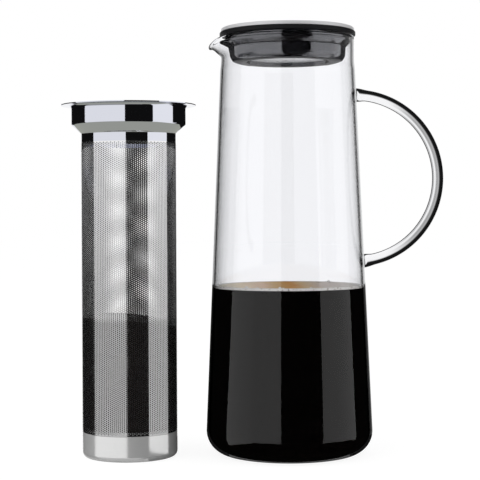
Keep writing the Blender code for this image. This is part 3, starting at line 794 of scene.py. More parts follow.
def grounds_material():
    """Wet coffee grounds: dark grains of several browns, some of them glistening."""
    made, tree, shader = new_material("coffee_grounds", GROUNDS_LOOKS)
    cells = tree.nodes.new("ShaderNodeTexVoronoi")
    feed(tree, cells.inputs["Vector"], object_place(tree))
    feed(tree, cells.inputs["Scale"], GROUNDS_GRAIN_SCALE)
    grain = cells.outputs["Distance"]
    clumps = noise_level(tree, *GROUNDS_CLUMPS)
    grains = blend(tree, grain, *GROUNDS_TONES)
    feed(tree, shader.inputs["Base Color"], blend(tree, clumps, grains, GROUNDS_DARK_TONE))
    feed(tree, shader.inputs["Roughness"], spread(tree, clumps, *GROUNDS_ROUGHNESS))
    feed(tree, shader.inputs["Normal"], bump(tree, grain, GROUNDS_GRAIN_DEPTH))
    return made


# Jug


def jug_radius(height):
    """The jug's outer radius at a height on its cone."""
    rise = (height - JUG_CORNER_RADIUS) / (JUG_CONE_TOP - JUG_CORNER_RADIUS)
    return JUG_BELLY_RADIUS + (JUG_CONE_TOP_RADIUS - JUG_BELLY_RADIUS) * rise


COFFEE_RADIUS = jug_radius(COFFEE_HEIGHT) - JUG_WALL
HANDLE_CENTRE_X = jug_radius(HANDLE_CENTRE_HEIGHT) - HANDLE_CENTRE_INSET
HANDLE_CENTRE = Vector((HANDLE_CENTRE_X, 0.0, HANDLE_CENTRE_HEIGHT))


def jug_side(bottom, corner, wall):
    """One side of the jug's wall, from the axis at the bottom up to below the rim."""
    path = [(0.0, bottom), (JUG_FOOT_RADIUS - JUG_SUPPORT, bottom)]
    path += arc(JUG_FOOT_RADIUS, bottom + corner, corner, -90, 0, 2 * ARC_STEPS)
    low = bottom + corner + JUG_SUPPORT
    for ring in range(JUG_CONE_RINGS + 1):
        height = low + (JUG_CONE_TOP - low) * ring / JUG_CONE_RINGS
        path.append((jug_radius(height) - wall, height))
    for ring in range(1, JUG_SHOULDER_RINGS + 1):
        share = ring / JUG_SHOULDER_RINGS
        height = JUG_CONE_TOP + JUG_SHOULDER_LENGTH * share
        cone = jug_radius(height)
        path.append((cone + (JUG_NECK_RADIUS - cone) * smooth_share(share) - wall, height))
    rim_centre = JUG_HEIGHT - JUG_WALL / 2
    for ring in range(1, JUG_NECK_RINGS):
        height = JUG_NECK_BOTTOM + (rim_centre - JUG_NECK_BOTTOM) * ring / JUG_NECK_RINGS
        path.append((JUG_NECK_RADIUS - wall, height))
    return path


def bell_share(off_middle, half_angle, power):
    """A share from 1 in the middle to 0 at the half angle."""
    return math.cos(math.pi / 2 * off_middle / half_angle) ** power


def spout_turn(reach, bell):
    """How far the spout's wall leans out at a share of its length."""
    bend = SPOUT_BEND * smooth_share(reach / SPOUT_BEND_SHARE)
    curl_reach = (reach - SPOUT_CURL_START_SHARE) / (1 - SPOUT_CURL_START_SHARE)
    return bell * (bend + SPOUT_CURL * smooth_share(curl_reach))


def bend_spout(vertices):
    """Bends the neck outwards round -X, with the wall a little thicker at the lip."""
    middle_radius = JUG_NECK_RADIUS - JUG_WALL / 2
    bent = []
    for x, y, z in vertices:
        radius = math.hypot(x, y)
        off_spout = abs(math.atan2(y, -x))
        if z <= JUG_NECK_BOTTOM or off_spout >= SPOUT_HALF_ANGLE:
            bent.append((x, y, z))
            continue
        bell = bell_share(off_spout, SPOUT_HALF_ANGLE, SPOUT_BELL_POWER)
        reach = (z - JUG_NECK_BOTTOM) / JUG_NECK_LENGTH
        length = JUG_NECK_LENGTH + (SPOUT_LENGTH - JUG_NECK_LENGTH) * bell
        step_length = length * reach / SPOUT_STEPS
        turns = [spout_turn(reach * (step + 0.5) / SPOUT_STEPS, bell) for step in range(SPOUT_STEPS)]
        out = step_length * sum(math.sin(turn) for turn in turns)
        rise = step_length * sum(math.cos(turn) for turn in turns)
        lip_reach = (reach - SPOUT_LIP_START_SHARE) / (1 - SPOUT_LIP_START_SHARE)
        swell = 1 + SPOUT_LIP_SWELL_SHARE * bell * smooth_share(lip_reach)
        beside = (radius - middle_radius) * swell
        turn = spout_turn(reach, bell)
        scale = (middle_radius + out + beside * math.cos(turn)) / radius
        bent.append((x * scale, y * scale, JUG_NECK_BOTTOM + rise - beside * math.sin(turn)))
    return bent


def handle_end(side):
    """The ring's angle where its rod reaches the middle of the wall, above (1) or below (-1)."""
    angle = side * math.pi / 2
    for _ in range(HANDLE_END_TRIES):
        height = HANDLE_CENTRE.z + HANDLE_RING_RADIUS * math.sin(angle)
        across = (jug_radius(height) - JUG_WALL / 2 - HANDLE_CENTRE.x) / HANDLE_RING_RADIUS
        angle = side * math.acos(across)
    return angle


def handle_mesh():
    """Vertices and faces of the ring's rod, flared at the wall, with both ends capped."""
    low, high = handle_end(-1), handle_end(1)
    vertices = []
    for step in range(HANDLE_STEPS + 1):
        angle = low + (high - low) * step / HANDLE_STEPS
        spoke = Vector((math.cos(angle), 0.0, math.sin(angle)))
        middle = HANDLE_CENTRE + spoke * HANDLE_RING_RADIUS
        from_wall = middle.x - jug_radius(middle.z)
        rod = HANDLE_ROD_RADIUS + HANDLE_FLARE * smooth_share(1 - from_wall / HANDLE_FLARE_LENGTH)
        for side in range(HANDLE_SIDES):
            turn = 2 * math.pi * side / HANDLE_SIDES
            across = Vector((0.0, -rod * math.sin(turn), 0.0))
            vertices.append(middle + spoke * (rod * math.cos(turn)) + across)
    faces = []
    for step in range(HANDLE_STEPS):
        for side in range(HANDLE_SIDES):
            after = (side + 1) % HANDLE_SIDES
            low_ring, high_ring = step * HANDLE_SIDES, (step + 1) * HANDLE_SIDES
            faces.append([low_ring + side, high_ring + side, high_ring + after, low_ring + after])
    faces.append(list(range(HANDLE_SIDES)))
    faces.append([HANDLE_STEPS * HANDLE_SIDES + side for side in reversed(range(HANDLE_SIDES))])
    return vertices, faces


def unit_rows(rows):
    """Each row scaled to length 1."""
    return rows / np.maximum(np.linalg.norm(rows, axis=1, keepdims=True), SHORTEST)


def area_normals(mesh):
    """A normal for each vertex, from its faces weighted by their areas."""
    count = len(mesh.polygons)
    face_normals = np.zeros(count * 3)
    areas = np.zeros(count)
    corners = np.zeros(count, int)
    owners = np.zeros(len(mesh.loops), int)
    mesh.polygons.foreach_get("normal", face_normals)
    mesh.polygons.foreach_get("area", areas)
    mesh.polygons.foreach_get("loop_total", corners)
    mesh.loops.foreach_get("vertex_index", owners)
    weighted = np.repeat(face_normals.reshape(-1, 3) * areas[:, None], corners, axis=0)
    normals = np.zeros((len(mesh.vertices), 3))
    np.add.at(normals, owners, weighted)
    return unit_rows(normals)


def lean_rod_normals(mesh, normals):
    """Leans the rod's normals outwards from its ring, as on a rod that is flatter inside."""
    on_rod = set()
    for face in mesh.polygons:
        if face.material_index == ROD_FINISH:
            on_rod.update(face.vertices)
    for index in on_rod:
        place = mesh.vertices[index].co
        from_wall = place.x - jug_radius(place.z)
        share = smooth_share((from_wall - HANDLE_LEAN_START) / HANDLE_LEAN_START)
        off_centre = Vector((place.x - HANDLE_CENTRE.x, 0.0, place.z - HANDLE_CENTRE.z))
        leaned = Vector(normals[index]) + off_centre.normalized() * HANDLE_LEAN * share
        normals[index] = leaned.normalized()
    return normals


def make_jug(wall_glass, rod_glass, inner_glass):
    """The blown jug with its spout and its fused ring handle, as one glass piece."""
    outer = jug_side(0.0, JUG_CORNER_RADIUS, 0.0)
    inner = jug_side(JUG_BASE_THICKNESS, JUG_CORNER_RADIUS - JUG_WALL, JUG_WALL)
    rim_radius = JUG_WALL / 2
    rim = arc(JUG_NECK_RADIUS - rim_radius, JUG_HEIGHT - rim_radius, rim_radius, 0, 180)
    vertices, faces = lathe(outer + rim + inner[::-1], ROUND_SEGMENTS)
    finishes = [wall_glass, rod_glass, inner_glass]
    jug = new_piece("jug_glass", bend_spout(vertices), faces, finishes)
    inside = np.zeros(len(faces), int)
    inside[(len(outer) + len(rim)) * ROUND_SEGMENTS:] = INSIDE_FINISH
    jug.data.polygons.foreach_set("material_index", inside)
    rod = new_piece("handle_rod", *handle_mesh(), finishes)
    for face in rod.data.polygons:
        face.material_index = ROD_FINISH
    fuse = jug.modifiers.new("Fuse the handle", "BOOLEAN")
    fuse.operation = "UNION"
    fuse.solver = "EXACT"
    fuse.object = rod
    whole = bpy.data.meshes.new_from_object(
        jug.evaluated_get(bpy.context.evaluated_depsgraph_get())
    )
    jug.modifiers.clear()
    bpy.data.objects.remove(rod)
    jug.data = whole
    whole.shade_smooth()
    normals = lean_rod_normals(whole, area_normals(whole))
    whole.normals_split_custom_set_from_vertices([tuple(normal) for normal in normals])
    settle(jug, "jug", "clear_glass", "jug_body", "jug_handle")


def make_coffee(body, surface):
    """The coffee, in contact with the glass all round, with a still surface."""
    corner = JUG_CORNER_RADIUS - JUG_WALL
    path = [(0.0, JUG_BASE_THICKNESS)]
    path += arc(JUG_FOOT_RADIUS, JUG_BASE_THICKNESS + corner, corner, -90, 0, 2 * ARC_STEPS)
    path.append((COFFEE_RADIUS, COFFEE_HEIGHT))
    path = [(r + COFFEE_OVERLAP if r else r, z) for r, z in path]
    path.append((0.0, COFFEE_HEIGHT))
    coffee = new_piece("coffee_body", *lathe(path, ROUND_SEGMENTS), [body, surface])
    for face in coffee.data.polygons[-ROUND_SEGMENTS:]:
        face.material_index = SURFACE_FINISH
    coffee.data.set_sharp_from_angle(angle=SHARP_ANGLE)
    settle(coffee, "jug", "coffee", "coffee")


def liquid_piece(name, vertices, faces, liquid):
    """A small clear piece on the coffee."""
    piece = new_piece(name, vertices, faces, [liquid])
    piece.data.set_sharp_from_angle(angle=SHARP_ANGLE)
    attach(piece, "jug")


def make_meniscus(liquid):
    """The clear wedge of liquid that climbs the glass round the surface."""
    outer = COFFEE_RADIUS + COFFEE_OVERLAP
    low = COFFEE_HEIGHT + COFFEE_OVERLAP
    inside, outside = outer - MENISCUS_OVERLAP, outer + MENISCUS_OVERLAP
    below = low - MENISCUS_DROP
    path = [(outer - MENISCUS_WIDTH, low), (inside, low), (inside, below), (outside, below)]
    path.append((outside, low + MENISCUS_RISE))
    for step in range(1, MENISCUS_STEPS):
        share = step / MENISCUS_STEPS
        height = MENISCUS_RISE * (1 - share) ** MENISCUS_POWER
        path.append((outer - MENISCUS_WIDTH * share, low + height))
    liquid_piece("coffee_meniscus", *lathe(path, ROUND_SEGMENTS, closed=True), liquid)


def bubble_mesh(x, side, radius, start):
    """Vertices and faces of a dome on the coffee, against the glass at X on one side."""
    reach = COFFEE_RADIUS - MENISCUS_WIDTH / 2 - radius
    y = side * math.sqrt(reach**2 - x**2)
    outline = [(0.0, 0.0)] + arc(0.0, 0.0, radius, 0, 90, BUBBLE_RINGS)
    outline[-1] = (0.0, radius)
    vertices, faces = lathe(outline, BUBBLE_SEGMENTS)
    base = COFFEE_HEIGHT + COFFEE_OVERLAP
    placed = [(x + dx, y + dy, base + dz) for dx, dy, dz in vertices]
    return placed, [[start + index for index in face] for face in faces]


def make_bubbles(liquid):
    """The few bubbles that cling to the coffee's edge."""
    vertices = []
    faces = []
    for x, side, radius in BUBBLES:
        more, around = bubble_mesh(x, side, radius, len(vertices))
        vertices += more
        faces += around
    liquid_piece("coffee_bubbles", vertices, faces, liquid)


# Lid


def make_lid_cap(steel):
    """The thin steel cap, turned down over the plate's boss."""
    bend = CAP_BEND_RADIUS
    bend_r = CAP_RADIUS - CAP_SHEET - bend
    bend_z = CAP_TOP - CAP_SHEET - bend
    path = [(0.0, CAP_TOP - CAP_SHEET)]
    path += arc(bend_r, bend_z, bend, 90, 0)
    path += [(CAP_RADIUS - CAP_SHEET, CAP_BOTTOM), (CAP_RADIUS, CAP_BOTTOM)]
    path += arc(bend_r, bend_z, bend + CAP_SHEET, 0, 90)
    path.append((0.0, CAP_TOP))
    settle(turned_piece("lid_cap_steel", path, steel), "lid", "cap_steel", "lid_cap")


def make_lid_plate(plastic):
    """The black flange that rests on the rim, with its boss and its spigot."""
    bottom = JUG_HEIGHT + LID_FLANGE_BOTTOM
    top = bottom + LID_FLANGE_THICKNESS
    edge = LID_FLANGE_EDGE
    centre = LID_FLANGE_RADIUS - edge
    spigot = PLUG_BORE_RADIUS - FIT_GAP
    boss = CAP_RADIUS - CAP_SHEET - FIT_GAP
    boss_top = CAP_TOP - CAP_SHEET - FIT_GAP - PAD_THICKNESS - FIT_GAP
    path = [(0.0, bottom), (spigot, bottom - LID_SPIGOT_DEPTH), (spigot, bottom)]
    path += arc(centre, bottom + edge, edge, -90, 0)
    path += arc(centre, top - edge, edge, 0, 90)
    path += [(boss, top), (boss, boss_top), (0.0, boss_top)]
    settle(turned_piece("lid_plate_black", path, plastic), "lid", "black_plastic", "lid_plate")


def make_lid_plug(plastic, matt, steel):
    """The plug's cup, stepped in for the seal, with a near-white disc in its matt foot as a painted
    reflection.
    """
    ledge = JUG_HEIGHT - SEAL_HEIGHT - FIT_GAP
    corner = PLUG_CORNER_RADIUS
    recess_z = PLUG_BOTTOM + PLUG_RECESS_DEPTH
    path = [(0.0, recess_z), (PLUG_RECESS_RADIUS, recess_z), (PLUG_RECESS_RADIUS, PLUG_BOTTOM)]
    corner_r = PLUG_RADIUS - PLUG_TAPER - corner
    path += arc(corner_r, PLUG_BOTTOM + corner, corner, -90, 0, 2 * ARC_STEPS)
    seat = [(PLUG_RADIUS, ledge), (PLUG_SEAT_RADIUS, ledge), (PLUG_SEAT_RADIUS, PLUG_TOP)]
    path += rounded([path[-1], *seat], FIT_GAP)[1:]
    path.append((PLUG_BORE_RADIUS, PLUG_TOP))
    inner_corner = corner - PLUG_WALL
    floor_z = recess_z + PLUG_WALL
    path += arc(PLUG_BORE_RADIUS - inner_corner, floor_z + inner_corner, inner_corner, 0, -90)
    path.append((0.0, floor_z))
    piece = turned_piece("lid_plug_black", path, plastic, matt, steel)
    for face in piece.data.polygons:
        if face.center.z < recess_z + FIT_GAP and face.normal.z < PLUG_MATT_NORMAL:
            on_disc = face.center.z > recess_z - FIT_GAP
            face.material_index = PLUG_DISC_FINISH if on_disc else PLUG_FOOT_FINISH
    settle(piece, "lid", "black_plastic", "lid_plug")


def make_lid_seal(silicone):
    """The silicone ring whose soft wedge meets the inside of the neck and springs into the spout."""
    inside = PLUG_SEAT_RADIUS + FIT_GAP
    waist = SEAL_RADIUS - SEAL_WAIST_DEPTH
    collar = SEAL_RADIUS - SEAL_COLLAR_INSET
    corners = [
        (inside, 1.0),
        (inside + SEAL_FOOT_THICKNESS, 1.0),
        (SEAL_RADIUS, 0.6),
        (SEAL_RADIUS, 0.39),
        (waist, 0.33),
        (waist, 0.15),
        (collar, 0.1),
        (collar, 0.0),
        (inside, 0.0),
    ]
    path = [(r, JUG_HEIGHT - SEAL_HEIGHT * drop_share) for r, drop_share in corners]
    outline = rounded(path, SEAL_ROUNDING, closed=True)
    piece = turned_piece("lid_seal_ring", outline, silicone, closed=True)
    spring_top = JUG_HEIGHT - SEAL_HEIGHT * SEAL_SPRING_TOP_SHARE
    for vertex in piece.data.vertices:
        radius = math.hypot(vertex.co.x, vertex.co.y)
        off_spout = abs(math.atan2(vertex.co.y, -vertex.co.x))
        if radius > waist and off_spout < SEAL_SPRING_ANGLE and vertex.co.z < spring_top:
            out = (radius - waist) / SEAL_WAIST_DEPTH
            scale = 1 + SEAL_SPRING * bell_share(off_spout, SEAL_SPRING_ANGLE, 2) * out / radius
            vertex.co.x *= scale
            vertex.co.y *= scale
    settle(piece, "lid", "black_silicone", "lid_seal")


# Filter


def make_filter_rim(steel):
    """The drawn rim: flat flange, cup, conical shoulder, neck and the collar in the tube."""
    fillet = FILTER_FLANGE_FILLET
    corner = FILTER_CUP_CORNER
    underside = FILTER_HEIGHT - FILTER_SHEET
    slope = math.degrees(math.atan2(FILTER_SHOULDER_HEIGHT, FILTER_CUP_RADIUS - FILTER_TUBE_RADIUS))
    corner_z = FILTER_CUP_BOTTOM + corner * math.tan(math.radians(90 - slope) / 2)
    outside = arc(FILTER_CUP_RADIUS - corner, corner_z, corner, slope - 90, 0)
    outside += arc(FILTER_CUP_RADIUS + fillet, underside - fillet, fillet, 180, 90)
    outside.append((FILTER_FLANGE_RADIUS, underside))
    inside = [(FILTER_FLANGE_RADIUS, FILTER_HEIGHT)]
    inside += arc(FILTER_CUP_RADIUS + fillet, underside - fillet, fillet + FILTER_SHEET, 90, 180)
    inside += arc(FILTER_CUP_RADIUS - corner, corner_z, corner - FILTER_SHEET, 0, slope - 90)
    neck_bottom = FILTER_TUBE_TOP
    neck = [
        (FILTER_TUBE_RADIUS - FILTER_SHEET, FILTER_NECK_TOP + FILTER_NECK_LIP),
        (FILTER_TUBE_RADIUS - FILTER_SHEET - FILTER_COLLAR_SHEET, neck_bottom - FILTER_COLLAR_LENGTH),
        (FILTER_TUBE_BORE - FIT_GAP, neck_bottom - FILTER_COLLAR_LENGTH),
        (FILTER_TUBE_BORE - FIT_GAP, neck_bottom),
        (FILTER_TUBE_RADIUS, neck_bottom),
    ]
    shoulder = rounded([neck[-1], (FILTER_TUBE_RADIUS, FILTER_NECK_TOP), outside[0]], FILTER_NECK_ROUNDING)
    outline = neck[:-1] + shoulder[:-1] + outside + inside
    piece = turned_piece("filter_rim_steel", outline, steel, closed=True)
    settle(piece, "filter", "polished_steel", "filter_rim", place=FILTER_AXIS)


def make_filter_base(steel):
    """The drawn base cup with its rounded foot and its collar in the tube."""
    corner = FILTER_BASE_CORNER
    inner_corner = corner - FILTER_SHEET
    collar = FILTER_TUBE_BORE - FIT_GAP
    collar_bore = collar - FILTER_COLLAR_SHEET
    collar_top = FILTER_TUBE_BOTTOM + FILTER_COLLAR_LENGTH
    path = [(0.0, 0.0)]
    path += arc(FILTER_TUBE_RADIUS - corner, corner, corner, -90, 0)
    step = [(FILTER_TUBE_RADIUS, FILTER_BASE_HEIGHT), (collar, FILTER_BASE_HEIGHT), (collar, collar_top)]
    path += rounded([path[-1], *step], FILTER_BASE_ROUNDING)[1:]
    path.append((collar_bore, collar_top))
    path += arc(collar_bore - inner_corner, corner, inner_corner, 0, -90)
    path.append((0.0, FILTER_SHEET))
    piece = turned_piece("filter_base_steel", path, steel)
    settle(piece, "filter", "satin_steel", "filter_base", place=FILTER_AXIS)


def cell_points(columns, rows, aside, up, radius):
    """Points on the tube at a column and a half row, moved aside and up by lengths."""
    angle = columns * (math.pi / HOLE_COLUMNS) + aside / FILTER_TUBE_RADIUS
    height = FILTER_TUBE_BOTTOM + HOLE_PLAIN_BOTTOM + (rows + 1) * HALF_ROW_PITCH + up
    return np.stack([radius * np.cos(angle), radius * np.sin(angle), height], axis=-1)


def perforated_band(first, last):
    """The tube's half rows from first up to last: vertices, faces and how to find a corner.

    Each hole sits in a diamond whose four corners lie midway between the neighbouring holes.
    Columns count in half steps round the tube.
    """
    span = 2 * HOLE_COLUMNS
    rows = np.arange(first, last)
    hole_row = np.repeat(rows, HOLE_COLUMNS)
    hole_column = (2 * np.tile(np.arange(HOLE_COLUMNS), len(rows)) + hole_row % 2) % span
    corner_rows = np.arange(first - 1, last + 1)
    corner_row = np.repeat(corner_rows, HOLE_COLUMNS)
    corner_column = 2 * np.tile(np.arange(HOLE_COLUMNS), len(corner_rows)) + (corner_row + 1) % 2

    def corner_index(column, row):
        step = ((column % span) - (row + 1) % 2) // 2
        return (row - first + 1) * HOLE_COLUMNS + step

    turn = 2 * math.pi * np.arange(HOLE_SIDES) / HOLE_SIDES
    aside = np.tile(HOLE_RADIUS * np.cos(turn), len(hole_row))
    up = np.tile(HOLE_RADIUS * np.sin(turn), len(hole_row))
    edge_column = np.repeat(hole_column, HOLE_SIDES)
    edge_row = np.repeat(hole_row, HOLE_SIDES)
    layers = []
    for radius in (FILTER_TUBE_RADIUS, FILTER_TUBE_BORE):
        layers.append(cell_points(corner_column, corner_row, 0.0, 0.0, radius))
        layers.append(cell_points(edge_column, edge_row, aside, up, radius))
    corner_count = len(corner_row)
    layer_size = corner_count + len(edge_row)

    hole_start = corner_count + np.arange(len(hole_row)) * HOLE_SIDES
    quarter = HOLE_SIDES // 4
    ways = ((1, 0), (0, 1), (-1, 0), (0, -1))
    corners = [corner_index(hole_column + dx, hole_row + dy) for dx, dy in ways]
    front = []
    for side in range(4):
        edge = [hole_start + (side * quarter + k) % HOLE_SIDES for k in range(quarter, -1, -1)]
        front.append(np.stack([corners[side], corners[(side + 1) % 4], *edge], axis=1))
    front = np.concatenate(front)
    walls = []
    for side in range(HOLE_SIDES):
        here, after = hole_start + side, hole_start + (side + 1) % HOLE_SIDES
        walls.append(np.stack([here, after, after + layer_size, here + layer_size], axis=1))
    back = front[:, ::-1] + layer_size
    return np.concatenate(layers), front, back, np.concatenate(walls), corner_index, layer_size


def radial_normals(vertices, faces, sign):
    """The tube's own normals at every corner of the faces."""
    flat = vertices[faces.ravel()] * (1.0, 1.0, 0.0)
    return sign * unit_rows(flat)


def flat_normals(vertices, faces):
    """Each four-sided face's own normal, at every corner."""
    across = vertices[faces[:, 1]] - vertices[faces[:, 0]]
    along = vertices[faces[:, 3]] - vertices[faces[:, 0]]
    return np.repeat(unit_rows(np.cross(across, along)), faces.shape[1], axis=0)


def tube_end(vertices, corner_index, layer_size, row, end_height, top):
    """The plain strip from the last half row to the tube's end.

    Gives the vertices with the new ones, then outer, inner and lip faces.
    """
    steps = 2 * np.arange(HOLE_COLUMNS) + (row + 1) % 2
    ring = corner_index(steps, row)
    ring_after = corner_index(steps + 2, row)
    point = corner_index(steps + 1, row - 1 if top else row + 1)
    end_points = vertices[np.concatenate([ring, ring + layer_size])]
    end_points[:, 2] = end_height
    end = len(vertices) + np.arange(HOLE_COLUMNS)
    end_after = np.roll(end, -1)
    inner_end, inner_end_after = end + HOLE_COLUMNS, end_after + HOLE_COLUMNS
    groups = [
        [ring, point, ring_after],
        [ring, ring_after, end_after, end],
        [inner_end, inner_end_after, ring_after + layer_size, ring + layer_size],
        [end, end_after, inner_end_after, inner_end],
    ]
    turn = 1 if top else -1
    triangles, strip, inner_strip, lip = [np.stack(group[::turn], axis=1) for group in groups]
    whole = np.concatenate([vertices, end_points])
    return whole, [triangles, strip], [triangles[:, ::-1] + layer_size, inner_strip], lip


def make_tube_band(number, steel, inner_steel):
    """One band of the perforated tube. The bands interlock along the holes' diamonds."""
    first = HOLE_HALF_ROWS * number // HOLE_BANDS
    last = HOLE_HALF_ROWS * (number + 1) // HOLE_BANDS
    vertices, front, back, walls, corner_index, layer_size = perforated_band(first, last)
    outer, inner, flat = [front], [back], [walls]
    for is_end, row, height, top in (
        (number == 0, first - 1, FILTER_TUBE_BOTTOM, False),
        (number == HOLE_BANDS - 1, last, FILTER_TUBE_TOP, True),
    ):
        if is_end:
            end = tube_end(vertices, corner_index, layer_size, row, height, top)
            vertices, more, less, lip = end
            outer, inner, flat = outer + more, inner + less, flat + [lip]
    faces = []
    normals = []
    for sign, groups in ((-1, inner), (1, outer), (0, flat)):
        for group in groups:
            faces += group.tolist()
            made = radial_normals(vertices, group, sign) if sign else flat_normals(vertices, group)
            normals.append(made)
    name = f"filter_tube_band_{number + 1}"
    piece = new_piece(name, vertices.tolist(), faces, [steel, inner_steel])
    sides = np.zeros(len(faces), int)
    sides[:sum(len(group) for group in inner)] = BACK_FINISH
    piece.data.polygons.foreach_set("material_index", sides)
    piece.data.normals_split_custom_set(np.concatenate(normals).tolist())
    settle(piece, "filter", "perforated_steel", "filter_tube", place=FILTER_AXIS)


def make_grounds(finish):
    """The wet grounds, heaped higher on the side away from the jug, with a crumbled surface."""
    floor = FILTER_SHEET + FIT_GAP
    corner = FILTER_BASE_CORNER - floor
    low_radius = FILTER_TUBE_BORE - FIT_GAP - FILTER_COLLAR_SHEET - FIT_GAP
    high_radius = FILTER_TUBE_BORE - FIT_GAP
    step = FILTER_TUBE_BOTTOM + FILTER_COLLAR_LENGTH + FIT_GAP
    path = [(0.0, floor)]
    path += arc(low_radius - corner, floor + corner, corner, -90, 0, GROUNDS_CORNER_STEPS)
    path.append((low_radius, step))
    for ring in range(GROUNDS_SIDE_RINGS + 1):
        path.append((high_radius, step + (GROUNDS_HEIGHT - step) * ring / GROUNDS_SIDE_RINGS))
    for ring in range(1, GROUNDS_TOP_RINGS):
        path.append((high_radius * (1 - ring / GROUNDS_TOP_RINGS), GROUNDS_HEIGHT))
    path.append((0.0, GROUNDS_HEIGHT))
    vertices, faces = lathe(path, SMALL_SEGMENTS)
    shaped = []
    for x, y, z in vertices:
        rise = max((z - step) / (GROUNDS_HEIGHT - step), 0.0)
        aside = (x / high_radius + 1) / 2
        height = z + GROUNDS_HEAP_RISE * rise - GROUNDS_SLOPE_DROP * aside * aside * rise
        if rise > GROUNDS_TOP_RISE:
            crumbs = noise.fractal(Vector((x, y, z)) * GROUNDS_CRUMB_SCALE, *GROUNDS_CRUMB_FRACTAL)
            inwards = 1 - math.hypot(x, y) / high_radius
            share = min(1.0, GROUNDS_EDGE_CRUMBS + inwards * GROUNDS_CRUMB_GROWTH)
            height += GROUNDS_ROUGHNESS_HEIGHT * (crumbs - 1.0) * rise * share
        shaped.append((x, y, height))
    piece = new_piece("grounds_heap", shaped, faces, [finish])
    settle(piece, "filter", "coffee_grounds", "coffee_grounds", place=FILTER_AXIS)


# Stage


def make_camera():
    """The photograph's camera."""
    data = bpy.data.cameras.new("Camera")
    data.lens = CAMERA_LENS
    data.shift_y = CAMERA_SHIFT_UP
    camera = bpy.data.objects.new("Camera", data)
    turn = Matrix.Rotation(math.pi / 2, 4, "X") @ Matrix.Rotation(CAMERA_ROLL, 4, "Z")
    camera.matrix_world = Matrix.Translation(CAMERA_PLACE) @ turn
    bpy.context.scene.collection.objects.link(camera)
    bpy.context.scene.camera = camera


def seen_directly(tree, path, with_glossy):
    """1 for rays from the camera and through glass, and for mirrored rays too if asked."""
    seen = calculate(tree, "MAXIMUM", path.outputs["Is Camera Ray"], path.outputs["Is Transmission Ray"])
    if with_glossy:
        seen = calculate(tree, "MAXIMUM", seen, path.outputs["Is Glossy Ray"])
    return seen


def make_world():
    """White for what the camera, glass and metal see, softer for the light that it gives."""
    world = bpy.data.worlds.new("Studio")
    bpy.context.scene.world = world
    world.use_nodes = True
    tree = world.node_tree
    path = tree.nodes.new("ShaderNodeLightPath")
    direct = seen_directly(tree, path, with_glossy=False)
    up = along_axis(tree, "Z", tree.nodes.new("ShaderNodeTexCoord").outputs["Generated"])
    mirrored = spread(tree, up, BELOW_STEEP, BELOW_LEVEL, BELOW_GREY, 1.0)
    glossy = spread(tree, path.outputs["Is Glossy Ray"], 0.0, 1.0, AMBIENT_STRENGTH, mirrored)
    background = tree.nodes["Background"]
    feed(tree, background.inputs["Color"], WHITE)
    feed(tree, background.inputs["Strength"], spread(tree, direct, 0.0, 1.0, glossy, 1.0))


def show_instead(tree, shader, seen):
    """Puts another shader in the principled one's place."""
    tree.links.new(seen, tree.nodes["Material Output"].inputs["Surface"])
    tree.nodes.remove(shader)


def glow_shader(tree, strength, colour=WHITE):
    """An emission."""
    glow = tree.nodes.new("ShaderNodeEmission")
    feed(tree, glow.inputs["Color"], colour)
    feed(tree, glow.inputs["Strength"], strength)
    return glow.outputs[0]


def stage_piece(name, vertices, faces, finish):
    """A piece of the stage."""
    piece = new_piece(name, vertices, faces, [finish])
    return piece


def flat_sheet(name, corners, finish):
    """A flat four-cornered stage piece."""
    return stage_piece(name, corners, [[0, 1, 2, 3]], finish)


def make_floor():
    """A pale floor that melts into the white behind it and keeps a faint shadow."""
    finish, tree, shader = new_material("floor", {})
    direct = seen_directly(tree, tree.nodes.new("ShaderNodeLightPath"), with_glossy=True)
    paint = tree.nodes.new("ShaderNodeBsdfDiffuse")
    feed(tree, paint.inputs["Color"], blend(tree, direct, FLOOR_BOUNCE_COLOUR, FLOOR_COLOUR))
    both = tree.nodes.new("ShaderNodeAddShader")
    feed(tree, both.inputs[0], paint.outputs[0])
    feed(tree, both.inputs[1], glow_shader(tree, calculate(tree, "MULTIPLY", direct, FLOOR_GLOW)))
    show_instead(tree, shader, both.outputs[0])
    half = FLOOR_HALF_SIZE
    corners = [(-half, -half, 0.0), (half, -half, 0.0), (half, half, 0.0), (-half, half, 0.0)]
    flat_sheet("floor", corners, finish).visible_glossy = False


def card_material(name, level, colour=WHITE):
    """A card that gives off one level of light from its front, to rays that something mirrored."""
    made, tree, shader = new_material(name, {})
    path = tree.nodes.new("ShaderNodeLightPath")
    direct = calculate(tree, "LESS_THAN", path.outputs["Glossy Depth"], 0.5)
    mix = tree.nodes.new("ShaderNodeMixShader")
    feed(tree, mix.inputs[0], calculate(tree, "MAXIMUM", from_inside(tree), direct))
    feed(tree, mix.inputs[1], glow_shader(tree, level, colour))
    feed(tree, mix.inputs[2], tree.nodes.new("ShaderNodeBsdfTransparent").outputs[0])
    show_instead(tree, shader, mix.outputs[0])
    return made


def only_mirrored(card, through_glass=False):
    """Leaves the card in mirrored light alone, and in what glass passes on of it if asked."""
    card.visible_camera = False
    card.visible_diffuse = False
    card.visible_transmission = through_glass
    card.visible_volume_scatter = False
    card.visible_shadow = False


def make_card(name, ends, heights, finish, through_glass=False):
    """An upright card from one floor place to another, that faces right of that way."""
    (x0, y0), (x1, y1) = ends
    low, high = heights
    corners = [(x0, y0, low), (x1, y1, low), (x1, y1, high), (x0, y0, high)]
    only_mirrored(flat_sheet(name, corners, finish), through_glass)


def make_ring_card(name, centre, radii, height, finish):
    """A flat ring-shaped card that faces up."""
    vertices, faces = lathe([(radius, height) for radius in reversed(radii)], SMALL_SEGMENTS)
    placed = [(x + centre[0], y + centre[1], z) for x, y, z in vertices]
    only_mirrored(stage_piece(name, placed, faces, finish))


